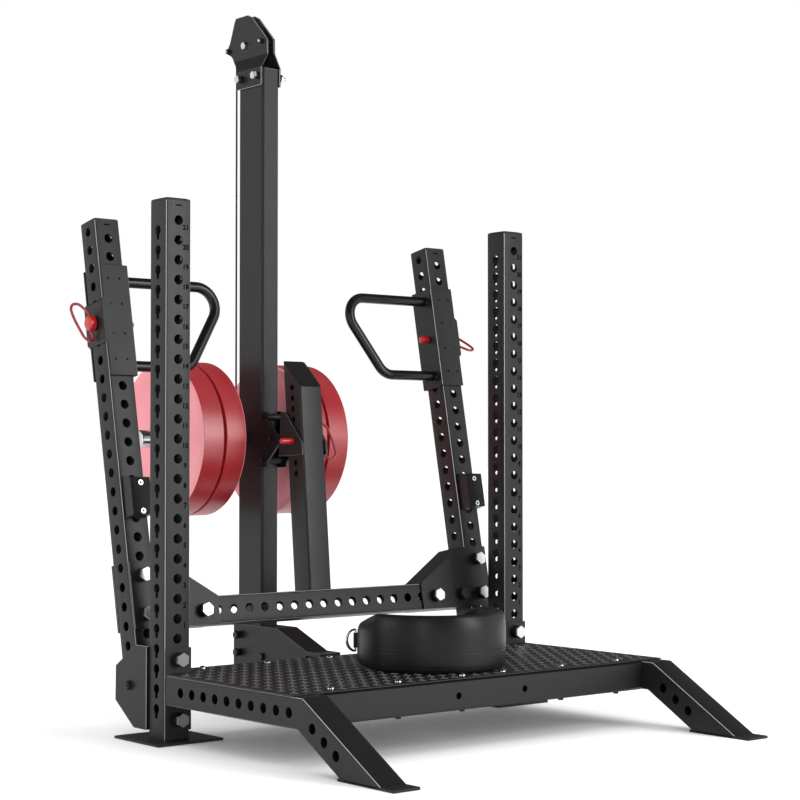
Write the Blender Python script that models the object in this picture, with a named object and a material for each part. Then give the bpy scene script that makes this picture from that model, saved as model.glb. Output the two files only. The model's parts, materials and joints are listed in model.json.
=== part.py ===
"""Belt squat machine: a perforated steel rack with a deck to stand on, a rear mast with a
weight carriage, and a cable that runs under the deck from the carriage to a padded belt.

Units are metres, +Z up. While modelling, X = 0 is the middle of the machine, Y = 0 the front
face of the uprights with the user's side towards -Y, and Z = 0 the floor. The whole machine
is parented to an empty that centres its footprint on the origin.
"""
import math

import bmesh
import bpy
from mathutils import Vector

for item in list(bpy.data.objects):
    bpy.data.objects.remove(item, do_unlink=True)

# Stock and spacing
WIDTH = 1.2446              # over the outer faces of the two uprights
TUBE = 0.0762               # square tube of the rack
WALL = 0.0045
CORNER = 0.006
PITCH = 0.0508              # hole to hole
HOLE_R = 0.0127
HOLE_SIDES = 5              # a five-sided hole with the area of the round one
HOLE_SCALE = 1.10
BOLT_HOLE_R = 0.009
PLATE = 0.00635             # welded and bolted plates
SHEET = 0.0032
GAP = 0.0003                # between pieces that touch
RUN = 0.0015                # between pieces that slide
HALF = WIDTH / 2
INNER = HALF - TUBE
HUB_R = TUBE / 2

# Uprights
UPRIGHT_TOP = 1.378
UPRIGHT_HOLES = 26
FIRST_HOLE_Z = 0.05715
KEYHOLES = 25
FIRST_KEYHOLE_Z = FIRST_HOLE_Z + PITCH / 2
KEYHOLE_DROP = 0.0245
KEYHOLE_SLOT = 0.012
BASE_PLATE_OUT = 0.050
BASE_PLATE_IN = 0.0698
BASE_PLATE_Y = (-0.050, 0.160)
CAP_HEIGHT = 0.0045
CAP_PLUG = 0.020

# Deck and its frame
RAIL_LOW = 0.09525
RAIL_HIGH = RAIL_LOW + TUBE
RAIL_MID = RAIL_LOW + TUBE / 2
RAIL_PLATE_Z = (0.0289, 0.2378)
RAIL_HOLES = 10
RAIL_FIRST_HOLE_Y = -0.073
BEND_Y = -0.5718            # where the rail's centre line turns down
LEG_SLOPE = math.radians(30)
LEG_HOLES = (0.0656, 0.1164, 0.1672)
FOOT_Y = (-0.912, -0.712)
FRONT_BEAM_Y = (-0.545, -0.545 + TUBE)
FRONT_BEAM_HOLE_X = 0.112
DECK_Z = RAIL_HIGH + GAP
DECK_BACK = 0.070
DECK_SLOT_X = 0.015
DECK_SLOT_Y = (-0.310, -0.190)
SPINE_X = 0.030             # half width of the centre rail, the channel and the mast
CHANNEL_WALL = 0.0048
CENTRE_RAIL_BACK = 0.320
CENTRE_RAIL_TOP = 0.1648

# Leaning posts and everything bolted to them
LEAN = math.radians(11)
LEAN_Y = 0.1906             # middle of the cross-member
LEAN_Z = 0.3060
POST_LOW = -0.245           # along the post, from the middle of the cross-member
POST_TOP = 1.0668
POST_HOLES = range(-4, 21)
CROSS_HOLES = 17
GUSSET_HIGH = 0.139
GUSSET_START = 0.3567
GUSSET_TURN = 0.5167
BRACKET_OUTLINE = ((0.0765, 0.0254), (0.0765, 0.2385), (0.128, 0.2385),
                   (0.226, 0.178), (0.2275, 0.088), (0.1374, 0.0254))
STOP_LOW, STOP_HIGH = 0.2527, 0.3632
STOP_X = (0.5560, 0.6155)
STOP_DEPTH = 0.042

# Handle trolleys
PIN_HOLE = 15
PIN_U = PITCH / 2 + PITCH * PIN_HOLE
TROLLEY_LOW, TROLLEY_HIGH = 0.636, 0.941
TROLLEY_DEPTH = 0.046
PIN_PLATE_HALF = 0.063
PIN_PLATE_CHAMFER = 0.0105
PIN_R = 0.0108
PIN_HOLE_R = 0.0118
KNOB_R = 0.020
HANDLE_R = 0.014
HANDLE_TOP, HANDLE_LOW = 0.9075, 0.6735
HANDLE_REACH = 0.1943       # |X| of the sharp corner that the bend rounds off
HANDLE_ELBOW = 0.3456
HANDLE_FILLET = 0.056
HANDLE_B = -0.008            # ahead of the middle of the post, clear of the weight plates
BAIL_R = 0.0028
RIGHT_BAIL_TURN = math.radians(136)

# Catch post and the catch that holds the carriage up
CATCH_LEAN = math.radians(4.96)
CATCH_FOOT_Y = 0.2048
CATCH_TOP_FRONT, CATCH_TOP_BACK = 0.5773, 0.6590
CATCH_HOLES = 9
CATCH_HOLE_R = 0.0095
CATCH_FIRST_HOLE = 0.5778
CATCH_HOLE_PITCH = 0.03057
CATCH_PIN_HOLE = 5
CATCH_PIN_R = 0.0078
CATCH_PIN_TIP = -0.0885
CATCH_PLATE_X = (0.0389, 0.0450)
CATCH_OUTLINE = ((0.194, 0.728), (0.199, 0.764), (0.278, 0.849),
                 (0.300, 0.849), (0.308, 0.7235), (0.275, 0.7235))

# Mast, its foot and its pulley head
MAST_Y = (0.4124, 0.5336)
MAST_TOP = 1.8575
MAST_WALL = 0.004
MAST_SLOT_X = 0.013
MAST_SLOT_Z = (0.070, 0.221)
MAST_FOOT_X = 0.110
MAST_FOOT_Y = (0.375, 0.640)
FOOT_BRACKET_TOP = 0.231
HEAD_LOW_X, HEAD_HIGH_X = 0.0303, 0.0093
HEAD_PLATE = 0.0053

# Cable, pulleys and weight carriage
CABLE_R = 0.00275
PULLEY_R = 0.062            # to the middle of the cable
PULLEY_RIM = 0.070
PULLEY_HALF = 0.0088
TOP_PULLEY = (0.526, 1.941)
BASE_PULLEY = (TOP_PULLEY[0] - 2 * PULLEY_R, 0.1445)
DECK_PULLEY_R = 0.035
DECK_PULLEY_RIM = 0.041
DECK_PULLEY = (-0.215, BASE_PULLEY[1] - PULLEY_R + DECK_PULLEY_R)
LIFT_Y = DECK_PULLEY[0] - DECK_PULLEY_R
REAR_RUN_Y = TOP_PULLEY[0] + PULLEY_R
AXLE_R = 0.008
HORN_Y, HORN_Z = 0.597, 0.7734
HORN_R = 0.025
HORN_END = 0.3333
CARRIAGE_X = (0.032, 0.038)
ROLLER_R = 0.010
ROLLER_Z = (0.712, 0.836)
LUG = (0.353, 0.774)
LUG_R = 0.008
WEIGHT_R = 0.225
WEIGHT_THICK = 0.0728
WEIGHT_START = 0.1105
COLLAR_START = 0.0960
COLLAR_R = 0.034

# Belt and what clips it to the cable
BELT_CENTRE = (0.0086, -0.299)
BELT_R = 0.184
BELT_HEIGHT = 0.147
BELT_THICK = 0.018
BELT_ARC = (math.radians(-229.6), math.radians(20.4))
BELT_STATIONS = 22
BELT_LOW = DECK_Z + SHEET + GAP
STOP_BALL_R = 0.017

# The footprint runs from the front feet to the back of the weight plates
ORIGIN_Y = -(FOOT_Y[0] + HORN_Y + WEIGHT_R) / 2


# Finishes
def finish(name, colour, roughness, metallic=0.0):
    """One Principled material."""
    mat = bpy.data.materials.new(name)
    mat.use_nodes = True
    shader = mat.node_tree.nodes["Principled BSDF"]
    shader.inputs["Base Color"].default_value = (*colour, 1.0)
    shader.inputs["Roughness"].default_value = roughness
    shader.inputs["Metallic"].default_value = metallic
    mat.diffuse_color = (*colour, 1.0)
    return mat


POWDER = finish("black_powder_coat", (0.030, 0.030, 0.032), 0.45, 0.2)
DECK_PAINT = finish("deck_tread_paint", (0.022, 0.022, 0.024), 0.5, 0.2)
CAP_PLASTIC = finish("black_plastic", (0.020, 0.020, 0.021), 0.5)
PULLEY_PLASTIC = finish("pulley_nylon", (0.025, 0.025, 0.026), 0.4)
RED = finish("red_pull_pin", (0.80, 0.03, 0.03), 0.3)
RED_RUBBER = finish("red_weight_plate", (0.62, 0.05, 0.07), 0.5)
CHROME = finish("chrome", (0.75, 0.75, 0.76), 0.12, 1.0)
ZINC = finish("zinc_steel", (0.60, 0.60, 0.60), 0.3, 1.0)
LEATHER = finish("black_belt_leather", (0.020, 0.020, 0.021), 0.45)
CABLE_COAT = finish("cable_jacket", (0.015, 0.015, 0.016), 0.35)


# Frames that the pieces are parented to
def empty(name, parent=None, location=(0, 0, 0), lean=0.0):
    """A plain frame. A positive lean tips its Z axis back, towards +Y."""
    frame = bpy.data.objects.new(name, None)
    frame.parent = parent
    frame.location = location
    frame.rotation_euler = (-lean, 0, 0)
    bpy.context.collection.objects.link(frame)
    return frame


MACHINE = empty("machine_frame", location=(0, ORIGIN_Y, 0))
LEANING = empty("leaning_frame", MACHINE, (0, LEAN_Y, LEAN_Z), LEAN)


def cross_member_top(y):
    """Height of the cross-member's sloping top face at Y = y, with the gap over it."""
    start_y = LEAN_Y + HUB_R * math.sin(LEAN)
    start_z = LEAN_Z + HUB_R * math.cos(LEAN)
    return start_z - (y - start_y) * math.tan(LEAN) + GAP / math.cos(LEAN)


CATCH_FRAME = empty("catch_frame", MACHINE,
                    (0, CATCH_FOOT_Y, cross_member_top(CATCH_FOOT_Y)), CATCH_LEAN)


# Mesh helpers
AXES = {"x": lambda t, a, b: Vector((t, a, b)),
        "y": lambda t, a, b: Vector((a, t, b)),
        "z": lambda t, a, b: Vector((a, b, t))}


def place(bm, name, mat, parent, origin=(0, 0, 0), smooth=False):
    """Make an object of a bmesh whose points are in the parent's frame."""
    bmesh.ops.recalc_face_normals(bm, faces=bm.faces)
    bmesh.ops.translate(bm, verts=bm.verts, vec=-Vector(origin))
    mesh = bpy.data.meshes.new(name)
    bm.to_mesh(mesh)
    bm.free()
    mesh.materials.append(mat)
    if smooth:
        mesh.shade_smooth()
        mesh.set_sharp_from_angle(angle=math.radians(35))
    piece = bpy.data.objects.new(name, mesh)
    piece.parent = parent
    piece.location = origin
    bpy.context.collection.objects.link(piece)
    return piece


def skin(bm, loops, ring=False):
    """Join loops of points, each with as many, by side faces. Returns the vertex loops."""
    rows = [[bm.verts.new(point) for point in loop] for loop in loops]
    pairs = list(zip(rows, rows[1:]))
    if ring:
        pairs.append((rows[-1], rows[0]))
    for low, high in pairs:
        for i in range(len(low)):
            j = (i + 1) % len(low)
            bm.faces.new((low[i], low[j], high[j], high[i]))
    return rows


def add_prism(bm, outline, low, high, axis):
    """Extrude an outline from low to high along an axis."""
    at = AXES[axis]
    loops = [[at(t, a, b) for a, b in outline] for t in (low, high)]
    rows = skin(bm, loops)
    bm.faces.new(rows[0])
    bm.faces.new(rows[1])


def prism(name, outline, low, high, axis, mat, parent, origin=(0, 0, 0)):
    """One extruded plate or block."""
    bm = bmesh.new()
    add_prism(bm, outline, low, high, axis)
    return place(bm, name, mat, parent, origin)


def block(name, x, y, z, mat, parent, origin=(0, 0, 0)):
    """A rectangular block between two corners."""
    outline = ((x[0], y[0]), (x[1], y[0]), (x[1], y[1]), (x[0], y[1]))
    return prism(name, outline, z[0], z[1], "z", mat, parent, origin)


def circle(centre, radius, sides, turn=0.0):
    """Points of a regular polygon."""
    step = 2 * math.pi / sides
    return [(centre[0] + radius * math.cos(turn + i * step),
             centre[1] + radius * math.sin(turn + i * step)) for i in range(sides)]


def hole(a, b, turn=0.0):
    """One hole of the rack's pattern, standing on a flat side."""
    return circle((a, b), HOLE_R * HOLE_SCALE, HOLE_SIDES, math.pi / 2 + turn)


def bolt_hole(a, b):
    """A clearance hole for a rack bolt."""
    return circle((a, b), BOLT_HOLE_R, 6)


def keyhole(y, z):
    """A round hole with a narrower slot hanging from it."""
    return [(y, z + HOLE_R * HOLE_SCALE), (y - HOLE_R, z), (y - KEYHOLE_SLOT / 2, z - KEYHOLE_DROP),
            (y + KEYHOLE_SLOT / 2, z - KEYHOLE_DROP), (y + HOLE_R, z)]


def stack(name, rings, axis, centre, sides, mat, parent, origin=(0, 0, 0)):
    """A solid turned piece: rings of (place along the axis, radius), with flat ends."""
    at = AXES[axis]
    bm = bmesh.new()
    rows = skin(bm, [[at(t, a, b) for a, b in circle(centre, r, sides)] for t, r in rings])
    bm.faces.new(rows[0])
    bm.faces.new(rows[-1])
    return place(bm, name, mat, parent, origin, smooth=True)


def revolve(name, profile, axis, centre, sides, mat, parent, origin=(0, 0, 0)):
    """A turned piece with a bore: a closed profile of (radius, place along the axis)."""
    at = AXES[axis]
    bm = bmesh.new()
    skin(bm, [[at(t, a, b) for a, b in circle(centre, r, sides)] for r, t in profile], ring=True)
    return place(bm, name, mat, parent, origin, smooth=True)


def section(width, depth, chamfer):
    """A rectangle with cut corners, about its middle."""
    w, d, c = width / 2, depth / 2, chamfer
    if not c:
        return [(-w, -d), (w, -d), (w, d), (-w, d)]
    return [(-w + c, -d), (w - c, -d), (w, -d + c), (w, d - c),
            (w - c, d), (-w + c, d), (-w, d - c), (-w, -d + c)]


def add_tube(bm, stations, width, depth, wall, lid=0.0):
    """A box tube through stations, each a function from the section's (a, b) to a point.
    A lid closes the last end with a plate of that thickness."""
    outer = [[at(a, b) for a, b in section(width, depth, CORNER)] for at in stations]
    bore = section(width - 2 * wall, depth - 2 * wall, 0)
    inner = [[at(a, b) for a, b in bore] for at in stations]
    if lid:
        inner[-1] = [p + (q - p).normalized() * ((q - p).length - lid)
                     for p, q in zip(inner[-2], inner[-1])]
    out_rows = skin(bm, outer)
    in_rows = skin(bm, inner)
    close_end(bm, out_rows[0], in_rows[0])
    if lid:
        bm.faces.new(out_rows[-1])
        bm.faces.new(in_rows[-1])
    else:
        close_end(bm, out_rows[-1], in_rows[-1])


def close_end(bm, outer, inner):
    """The flat end of a tube: eight outer points round four inner ones."""
    for i in range(4):
        a, b = outer[2 * i], outer[2 * i + 1]
        c = outer[(2 * i + 2) % 8]
        bm.faces.new((a, b, inner[(i + 1) % 4], inner[i]))
        bm.faces.new((b, c, inner[(i + 1) % 4]))


def guide(piece):
    """Mark an object as a cutter or an addition that isn't a piece itself."""
    piece.hide_render = True
    piece.display_type = "WIRE"
    return piece


def combine(piece, other, operation):
    """Leave a live Boolean on a piece."""
    guide(other)
    boolean = piece.modifiers.new(operation.lower(), "BOOLEAN")
    boolean.operation = operation
    boolean.solver = "EXACT"
    boolean.object = other


def weld(piece, *others):
    """Fuse pieces that are welded together on the real machine."""
    for other in others:
        combine(piece, other, "UNION")


def drill(piece, outlines, low, high, axis):
    """Cut a set of holes that don't touch each other, in one go."""
    bm = bmesh.new()
    for outline in outlines:
        add_prism(bm, outline, low, high, axis)
    cutter = place(bm, piece.name + "_cutter", piece.data.materials[0], piece.parent)
    combine(piece, cutter, "DIFFERENCE")


def wire(name, points, radius, mat, parent, origin=(0, 0, 0), cyclic=False, smoothness=2):
    """A round bar, wire or cable along points."""
    curve = bpy.data.curves.new(name, "CURVE")
    curve.dimensions = "3D"
    curve.bevel_depth = radius
    curve.bevel_resolution = smoothness
    curve.use_fill_caps = not cyclic
    curve.materials.append(mat)
    spline = curve.splines.new("POLY")
    spline.points.add(len(points) - 1)
    spline.use_cyclic_u = cyclic
    for knot, point in zip(spline.points, points):
        knot.co = (*(Vector(point) - Vector(origin)), 1.0)
    piece = bpy.data.objects.new(name, curve)
    piece.parent = parent
    piece.location = origin
    bpy.context.collection.objects.link(piece)
    return piece


def bent_bar(name, points, radius, sides, normal, mat, parent):
    """A round bar along a flat path whose plane has the given normal."""
    bm = bmesh.new()
    loops = []
    for i, point in enumerate(points):
        ahead = points[min(i + 1, len(points) - 1)] - points[max(i - 1, 0)]
        across = normal.cross(ahead.normalized())
        loops.append([point + across * a + normal * b for a, b in circle((0, 0), radius, sides)])
    rows = skin(bm, loops)
    bm.faces.new(rows[0])
    bm.faces.new(rows[-1])
    return place(bm, name, mat, parent, smooth=True)


def fillet(before, corner, after, radius, steps):
    """Points of an arc that rounds a corner of a flat path."""
    corner, to_a, to_b = Vector(corner), Vector(before) - Vector(corner), Vector(after) - Vector(corner)
    to_a.normalize()
    to_b.normalize()
    half = to_a.angle(to_b) / 2
    start = corner + to_a * (radius / math.tan(half))
    centre = corner + (to_a + to_b).normalized() * (radius / math.sin(half))
    spoke = start - centre
    swing = math.pi - 2 * half
    across = (corner + to_b * (radius / math.tan(half)) - centre)
    normal = spoke.cross(across).normalized()
    side = normal.cross(spoke)
    return [centre + spoke * math.cos(swing * i / steps) + side * math.sin(swing * i / steps)
            for i in range(steps + 1)]


def spread(side, near, far):
    """The X range between two distances from the middle, on one side of the machine."""
    return tuple(sorted((side * near, side * far)))


def along_x(y_mid, z_mid, x):
    """A tube station square to X."""
    return lambda a, b: Vector((x, y_mid + a, z_mid + b))


def along_y(x_mid, z_mid, y):
    """A tube station square to Y."""
    return lambda a, b: Vector((x_mid + a, y, z_mid + b))


def along_z(x_mid, y_mid, z):
    """A tube station square to Z."""
    return lambda a, b: Vector((x_mid + a, y_mid + b, z))


def tube(name, stations, width, depth, wall, mat, parent, lid=0.0):
    """A box tube as a piece of its own."""
    bm = bmesh.new()
    add_tube(bm, stations, width, depth, wall, lid)
    return place(bm, name, mat, parent)


SIDES = (("left", -1), ("right", 1))


# Uprights: perforated tube welded to a base plate
def upright(label, side):
    mid = side * (HALF - HUB_R)
    name = label + "_upright"
    post = tube(name, [along_z(mid, HUB_R, PLATE / 2), along_z(mid, HUB_R, UPRIGHT_TOP)],
                TUBE, TUBE, WALL, POWDER, MACHINE)
    base = block(name + "_base", spread(side, INNER - BASE_PLATE_IN, HALF + BASE_PLATE_OUT),
                 BASE_PLATE_Y, (0, PLATE), POWDER, MACHINE)
    weld(post, base)
    front = [hole(mid, FIRST_HOLE_Z + k * PITCH) for k in range(UPRIGHT_HOLES)]
    sides = [keyhole(HUB_R, FIRST_KEYHOLE_Z + k * PITCH) for k in range(KEYHOLES)]
    drill(post, front, -0.02, TUBE + 0.02, "y")
    drill(post, sides, *spread(side, INNER - 0.02, HALF + 0.02), "x")


def end_cap(name, mid_x, mid_y, top, parent):
    """A domed cap with a plug that goes into the tube."""
    loops = [(top - CAP_PLUG, TUBE - 2 * WALL - 0.002, 0.004),
             (top + GAP, TUBE - 2 * WALL - 0.002, 0.004),
             (top + GAP, TUBE, CORNER),
             (top + GAP + CAP_HEIGHT * 0.5, TUBE, CORNER),
             (top + GAP + CAP_HEIGHT, TUBE * 0.6, CORNER)]
    bm = bmesh.new()
    rows = skin(bm, [[Vector((mid_x + a, mid_y + b, z)) for a, b in section(size, size, cut)]
                     for z, size, cut in loops])
    bm.faces.new(rows[0])
    bm.faces.new(rows[-1])
    place(bm, name, CAP_PLASTIC, parent)


# Deck frame: side rails with their legs, two beams, a channel and the deck sheet
def side_rail(label, side):
    """Mounting plate, rail, mitred leg and foot, welded into one piece."""
    mid = side * (HALF - HUB_R)
    name = label + "_side_rail"
    slope = math.tan(LEG_SLOPE)

    def mitre(a, b):
        return Vector((mid + a, BEND_Y - b * math.tan(LEG_SLOPE / 2), RAIL_MID + b))

    def ground(a, b):
        turn = mitre(a, b)
        return Vector((turn.x, turn.y - (turn.z - PLATE / 2) / slope, PLATE / 2))

    rear = along_y(mid, RAIL_MID, -GAP - PLATE / 2)
    rail = tube(name, [rear, mitre, ground], TUBE, TUBE, WALL, POWDER, MACHINE)
    across = spread(side, INNER, HALF)
    plate = block(name + "_plate", across, (-GAP - PLATE, -GAP), RAIL_PLATE_Z, POWDER, MACHINE)
    foot = block(name + "_foot", across, FOOT_Y, (0, PLATE), POWDER, MACHINE)
    weld(rail, plate, foot)
    holes = [hole(RAIL_FIRST_HOLE_Y - k * PITCH, RAIL_MID) for k in range(RAIL_HOLES)]
    top = mitre(0, HUB_R)
    for reach in LEG_HOLES:
        y = top.y - reach * math.cos(LEG_SLOPE) + HUB_R * math.sin(LEG_SLOPE)
        z = top.z - reach * math.sin(LEG_SLOPE) - HUB_R * math.cos(LEG_SLOPE)
        holes.append(hole(y, z, LEG_SLOPE))
    drill(rail, holes, *spread(side, INNER - 0.02, HALF + 0.02), "x")
    bolts = [bolt_hole(mid, FIRST_HOLE_Z + k * PITCH) for k in (0, 3)]
    drill(rail, bolts, -0.02, 0.01, "y")


def deck_frame():
    reach = INNER - GAP
    y_mid = sum(FRONT_BEAM_Y) / 2
    front = tube("front_beam", [along_x(y_mid, RAIL_MID, -reach), along_x(y_mid, RAIL_MID, reach)],
                 TUBE, TUBE, WALL, POWDER, MACHINE)
    drill(front, [circle((x, RAIL_MID), 0.0065, 6) for x in (-FRONT_BEAM_HOLE_X, FRONT_BEAM_HOLE_X)],
          FRONT_BEAM_Y[0] - 0.01, FRONT_BEAM_Y[0] + 0.01, "y")
    tube("rear_beam", [along_x(HUB_R, RAIL_MID, -reach), along_x(HUB_R, RAIL_MID, reach)],
         TUBE, TUBE, WALL, POWDER, MACHINE)


def deck_plate():
    """The tread sheet, notched round the uprights and slotted for the cable."""
    front, notch = FRONT_BEAM_Y[0], -PLATE - 2 * GAP
    narrow = INNER - GAP
    outline = ((-HALF, front), (HALF, front), (HALF, notch), (narrow, notch),
               (narrow, DECK_BACK), (-narrow, DECK_BACK), (-narrow, notch), (-HALF, notch))
    deck = prism("deck_plate", outline, DECK_Z, DECK_Z + SHEET, "z", DECK_PAINT, MACHINE)
    x, (y0, y1) = DECK_SLOT_X, DECK_SLOT_Y
    slot = [(-x, y0 + x), (0, y0), (x, y0 + x), (x, y1 - x), (0, y1), (-x, y1 - x)]
    drill(deck, [slot], DECK_Z - 0.01, DECK_Z + 0.02, "z")


def centre_channel():
    """The channel under the deck that carries the front pulley, open below."""
    x, t = SPINE_X, CHANNEL_WALL
    top = RAIL_HIGH - GAP
    outline = [(-x, RAIL_LOW), (-x, top), (x, top), (x, RAIL_LOW),
               (x - t, RAIL_LOW), (x - t, top - t), (-x + t, top - t), (-x + t, RAIL_LOW)]
    channel = prism("centre_channel", outline, FRONT_BEAM_Y[1] + GAP, -GAP, "y", POWDER, MACHINE)
    slot = [(-DECK_SLOT_X, DECK_SLOT_Y[0]), (DECK_SLOT_X, DECK_SLOT_Y[0]),
            (DECK_SLOT_X, DECK_SLOT_Y[1]), (-DECK_SLOT_X, DECK_SLOT_Y[1])]
    drill(channel, [slot], top - 0.02, top + 0.02, "z")
    drill(channel, [circle(DECK_PULLEY, AXLE_R + GAP, 8)], -0.06, 0.06, "x")


def centre_rail():
    """The tube that ties the deck frame to the mast, with its flange on the rear beam."""
    height = CENTRE_RAIL_TOP - RAIL_LOW
    z_mid = RAIL_LOW + height / 2
    start = TUBE + GAP
    rail = tube("centre_rail", [along_y(0, z_mid, start + PLATE / 2), along_y(0, z_mid, CENTRE_RAIL_BACK)],
                2 * SPINE_X, height, MAST_WALL, POWDER, MACHINE)
    flange = block("centre_rail_flange", (-0.060, 0.060), (start, start + PLATE),
                   (RAIL_LOW, CENTRE_RAIL_TOP), POWDER, MACHINE)
    weld(rail, flange)


# Leaning posts, their lower brackets, the cross-member and its gussets
def leaning_post(label, side):
    mid = side * (HALF - HUB_R)
    post = tube(label + "_lean_post", [along_z(mid, 0, POST_LOW), along_z(mid, 0, POST_TOP)],
                TUBE, TUBE, WALL, POWDER, LEANING)
    front = [hole(mid, k * PITCH) for k in POST_HOLES]
    sides = [hole(0, PITCH / 2 + k * PITCH) for k in POST_HOLES]
    drill(post, front, -HUB_R - 0.02, HUB_R + 0.02, "y")
    drill(post, sides, *spread(side, INNER - 0.02, HALF + 0.02), "x")


def post_bracket(label, side):
    """Two cheeks on a plate, bolted to the back of the upright, that hold the leaning post."""
    name = label + "_post_bracket"
    outer = prism(name, BRACKET_OUTLINE, *spread(side, HALF + GAP, HALF + GAP + PLATE),
                  "x", POWDER, MACHINE)
    inner = prism(name + "_inner", BRACKET_OUTLINE, *spread(side, INNER - GAP - PLATE, INNER - GAP),
                  "x", POWDER, MACHINE)
    (y0, z0), (_, z1) = BRACKET_OUTLINE[:2]
    back = block(name + "_back", spread(side, INNER - GAP - PLATE / 2, HALF + GAP + PLATE / 2),
                 (y0, y0 + PLATE), (z0, z1), POWDER, MACHINE)
    weld(outer, back, inner)
    u = PITCH / 2 + POST_HOLES[0] * PITCH
    bolt = (LEAN_Y + u * math.sin(LEAN), LEAN_Z + u * math.cos(LEAN))
    drill(outer, [bolt_hole(*bolt)], *spread(side, INNER - 0.03, HALF + 0.03), "x")


def cross_member():
    reach = INNER - GAP
    beam = tube("cross_member", [along_x(0, 0, -reach), along_x(0, 0, reach)],
                TUBE, TUBE, WALL, POWDER, LEANING)
    middle = (CROSS_HOLES - 1) / 2
    holes = [hole((k - middle) * PITCH, 0) for k in range(CROSS_HOLES)]
    drill(beam, holes, -HUB_R - 0.02, HUB_R + 0.02, "y")


def gusset(label, side):
    """Front and rear plates joined by a sloping strip, clamped round the corner."""
    name = label + "_gusset"
    face = HUB_R + GAP
    outline = [(side * x, u) for x, u in ((GUSSET_START, -HUB_R), (HALF, -HUB_R), (HALF, GUSSET_HIGH),
                                          (GUSSET_TURN, GUSSET_HIGH), (GUSSET_START, HUB_R))]
    front = prism(name, outline, -face - PLATE, -face, "y", POWDER, LEANING)
    rear = prism(name + "_rear", outline, face, face + PLATE, "y", POWDER, LEANING)
    run, rise = GUSSET_TURN - GUSSET_START, GUSSET_HIGH - HUB_R
    shift = PLATE * math.hypot(run, rise) / rise
    low, flat, post = HUB_R + 2 * GAP, GUSSET_HIGH - PLATE, INNER - 2 * GAP

    def slope_x(u):
        return GUSSET_START + (u - HUB_R) * run / rise

    strip = [(slope_x(low), low), (GUSSET_TURN, GUSSET_HIGH), (post, GUSSET_HIGH),
             (post, flat), (slope_x(flat) + shift, flat), (slope_x(low) + shift, low)]
    web = prism(name + "_web", [(side * x, u) for x, u in strip], -face - PLATE / 2, face + PLATE / 2,
                "y", POWDER, LEANING)
    weld(front, web, rear)
    post_x = HALF - HUB_R
    spots = ((8 * PITCH, 0), (post_x, 0), (post_x, 2 * PITCH))
    drill(front, [bolt_hole(side * x, u) for x, u in spots], -0.06, 0.06, "y")


def stop_block(label, side):
    """The bumper that the handle trolley comes down on."""
    face = -HUB_R - GAP
    level = STOP_DEPTH * math.tan(LEAN)     # keeps the top level on a leaning post
    outline = [(face, STOP_LOW), (face, STOP_HIGH), (face - STOP_DEPTH, STOP_HIGH - level),
               (face - STOP_DEPTH, STOP_LOW + 0.0033)]
    prism(label + "_stop_block", outline, *spread(side, *STOP_X), "x", CAP_PLASTIC, LEANING)


# Handle trolleys, which slide on the leaning posts and lock with a pull pin
def handle(label, side):
    """The round bar grip, bent into a D, that is welded to the trolley's inner plate."""
    start = INNER - RUN - PLATE / 2

    def at(x, u):
        return Vector((side * x, HANDLE_B, u))

    corners = [at(start, HANDLE_TOP), at(HANDLE_REACH, HANDLE_TOP), at(HANDLE_ELBOW, HANDLE_LOW),
               at(start, HANDLE_LOW)]
    path = [corners[0]]
    path += fillet(*corners[:3], HANDLE_FILLET, 6)
    path += fillet(*corners[1:], HANDLE_FILLET, 3)
    path.append(corners[3])
    return bent_bar(label + "_handle", path, HANDLE_R, 8, Vector((0, 1, 0)), POWDER, LEANING)


def trolley(label, side):
    """A channel round three sides of the post, closed by a short plate at the pin."""
    name = label + "_trolley"
    inside, depth = INNER - RUN, TROLLEY_DEPTH
    lip = HALF + RUN
    origin = (side * (HALF - HUB_R), 0, PIN_U)
    shell = [(HALF, -depth), (inside - PLATE, -depth), (inside - PLATE, depth), (HALF, depth),
             (HALF, depth - PLATE), (inside, depth - PLATE), (inside, -depth + PLATE), (HALF, -depth + PLATE)]
    seat = [(HALF - 0.020, -depth), (lip + PLATE, -depth), (lip + PLATE, depth), (HALF - 0.020, depth),
            (HALF - 0.020, depth - PLATE), (lip, depth - PLATE), (lip, -depth + PLATE),
            (HALF - 0.020, -depth + PLATE)]
    body = prism(name, [(side * x, b) for x, b in shell], TROLLEY_LOW, TROLLEY_HIGH,
                 "z", POWDER, LEANING, origin)
    pin_seat = prism(name + "_pin_seat", [(side * x, b) for x, b in seat],
                     PIN_U - PIN_PLATE_HALF, PIN_U + PIN_PLATE_HALF, "z", POWDER, LEANING)
    out, cut, over = lip + PLATE, PIN_PLATE_CHAMFER, 0.001
    corners = [[(side * (out + over), PIN_U + way * (PIN_PLATE_HALF - cut - over)),
                (side * (out + over), PIN_U + way * (PIN_PLATE_HALF + over)),
                (side * (out - cut - over), PIN_U + way * (PIN_PLATE_HALF + over))] for way in (-1, 1)]
    drill(pin_seat, corners, -0.06, 0.06, "y")
    weld(body, pin_seat, handle(label, side))
    drill(body, [circle((0, PIN_U), PIN_HOLE_R, 8)], *spread(side, inside - 0.03, HALF + 0.03), "x")


def pull_pin(name, side, mid_x, centre, knob, radius, tip, parent):
    """A pin with a round knob. knob and tip are distances from the middle, along X."""
    near, far = knob
    rings = [(far, KNOB_R * 0.8), (far - 0.003, KNOB_R), (near + 0.002, KNOB_R), (near, KNOB_R * 0.85),
             (near, radius), (tip + 0.006, radius), (tip, radius * 0.55)]
    stack(name, [(side * t, r) for t, r in rings], "x", centre, 8, RED, parent,
          (side * mid_x, centre[0], centre[1]))


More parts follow.
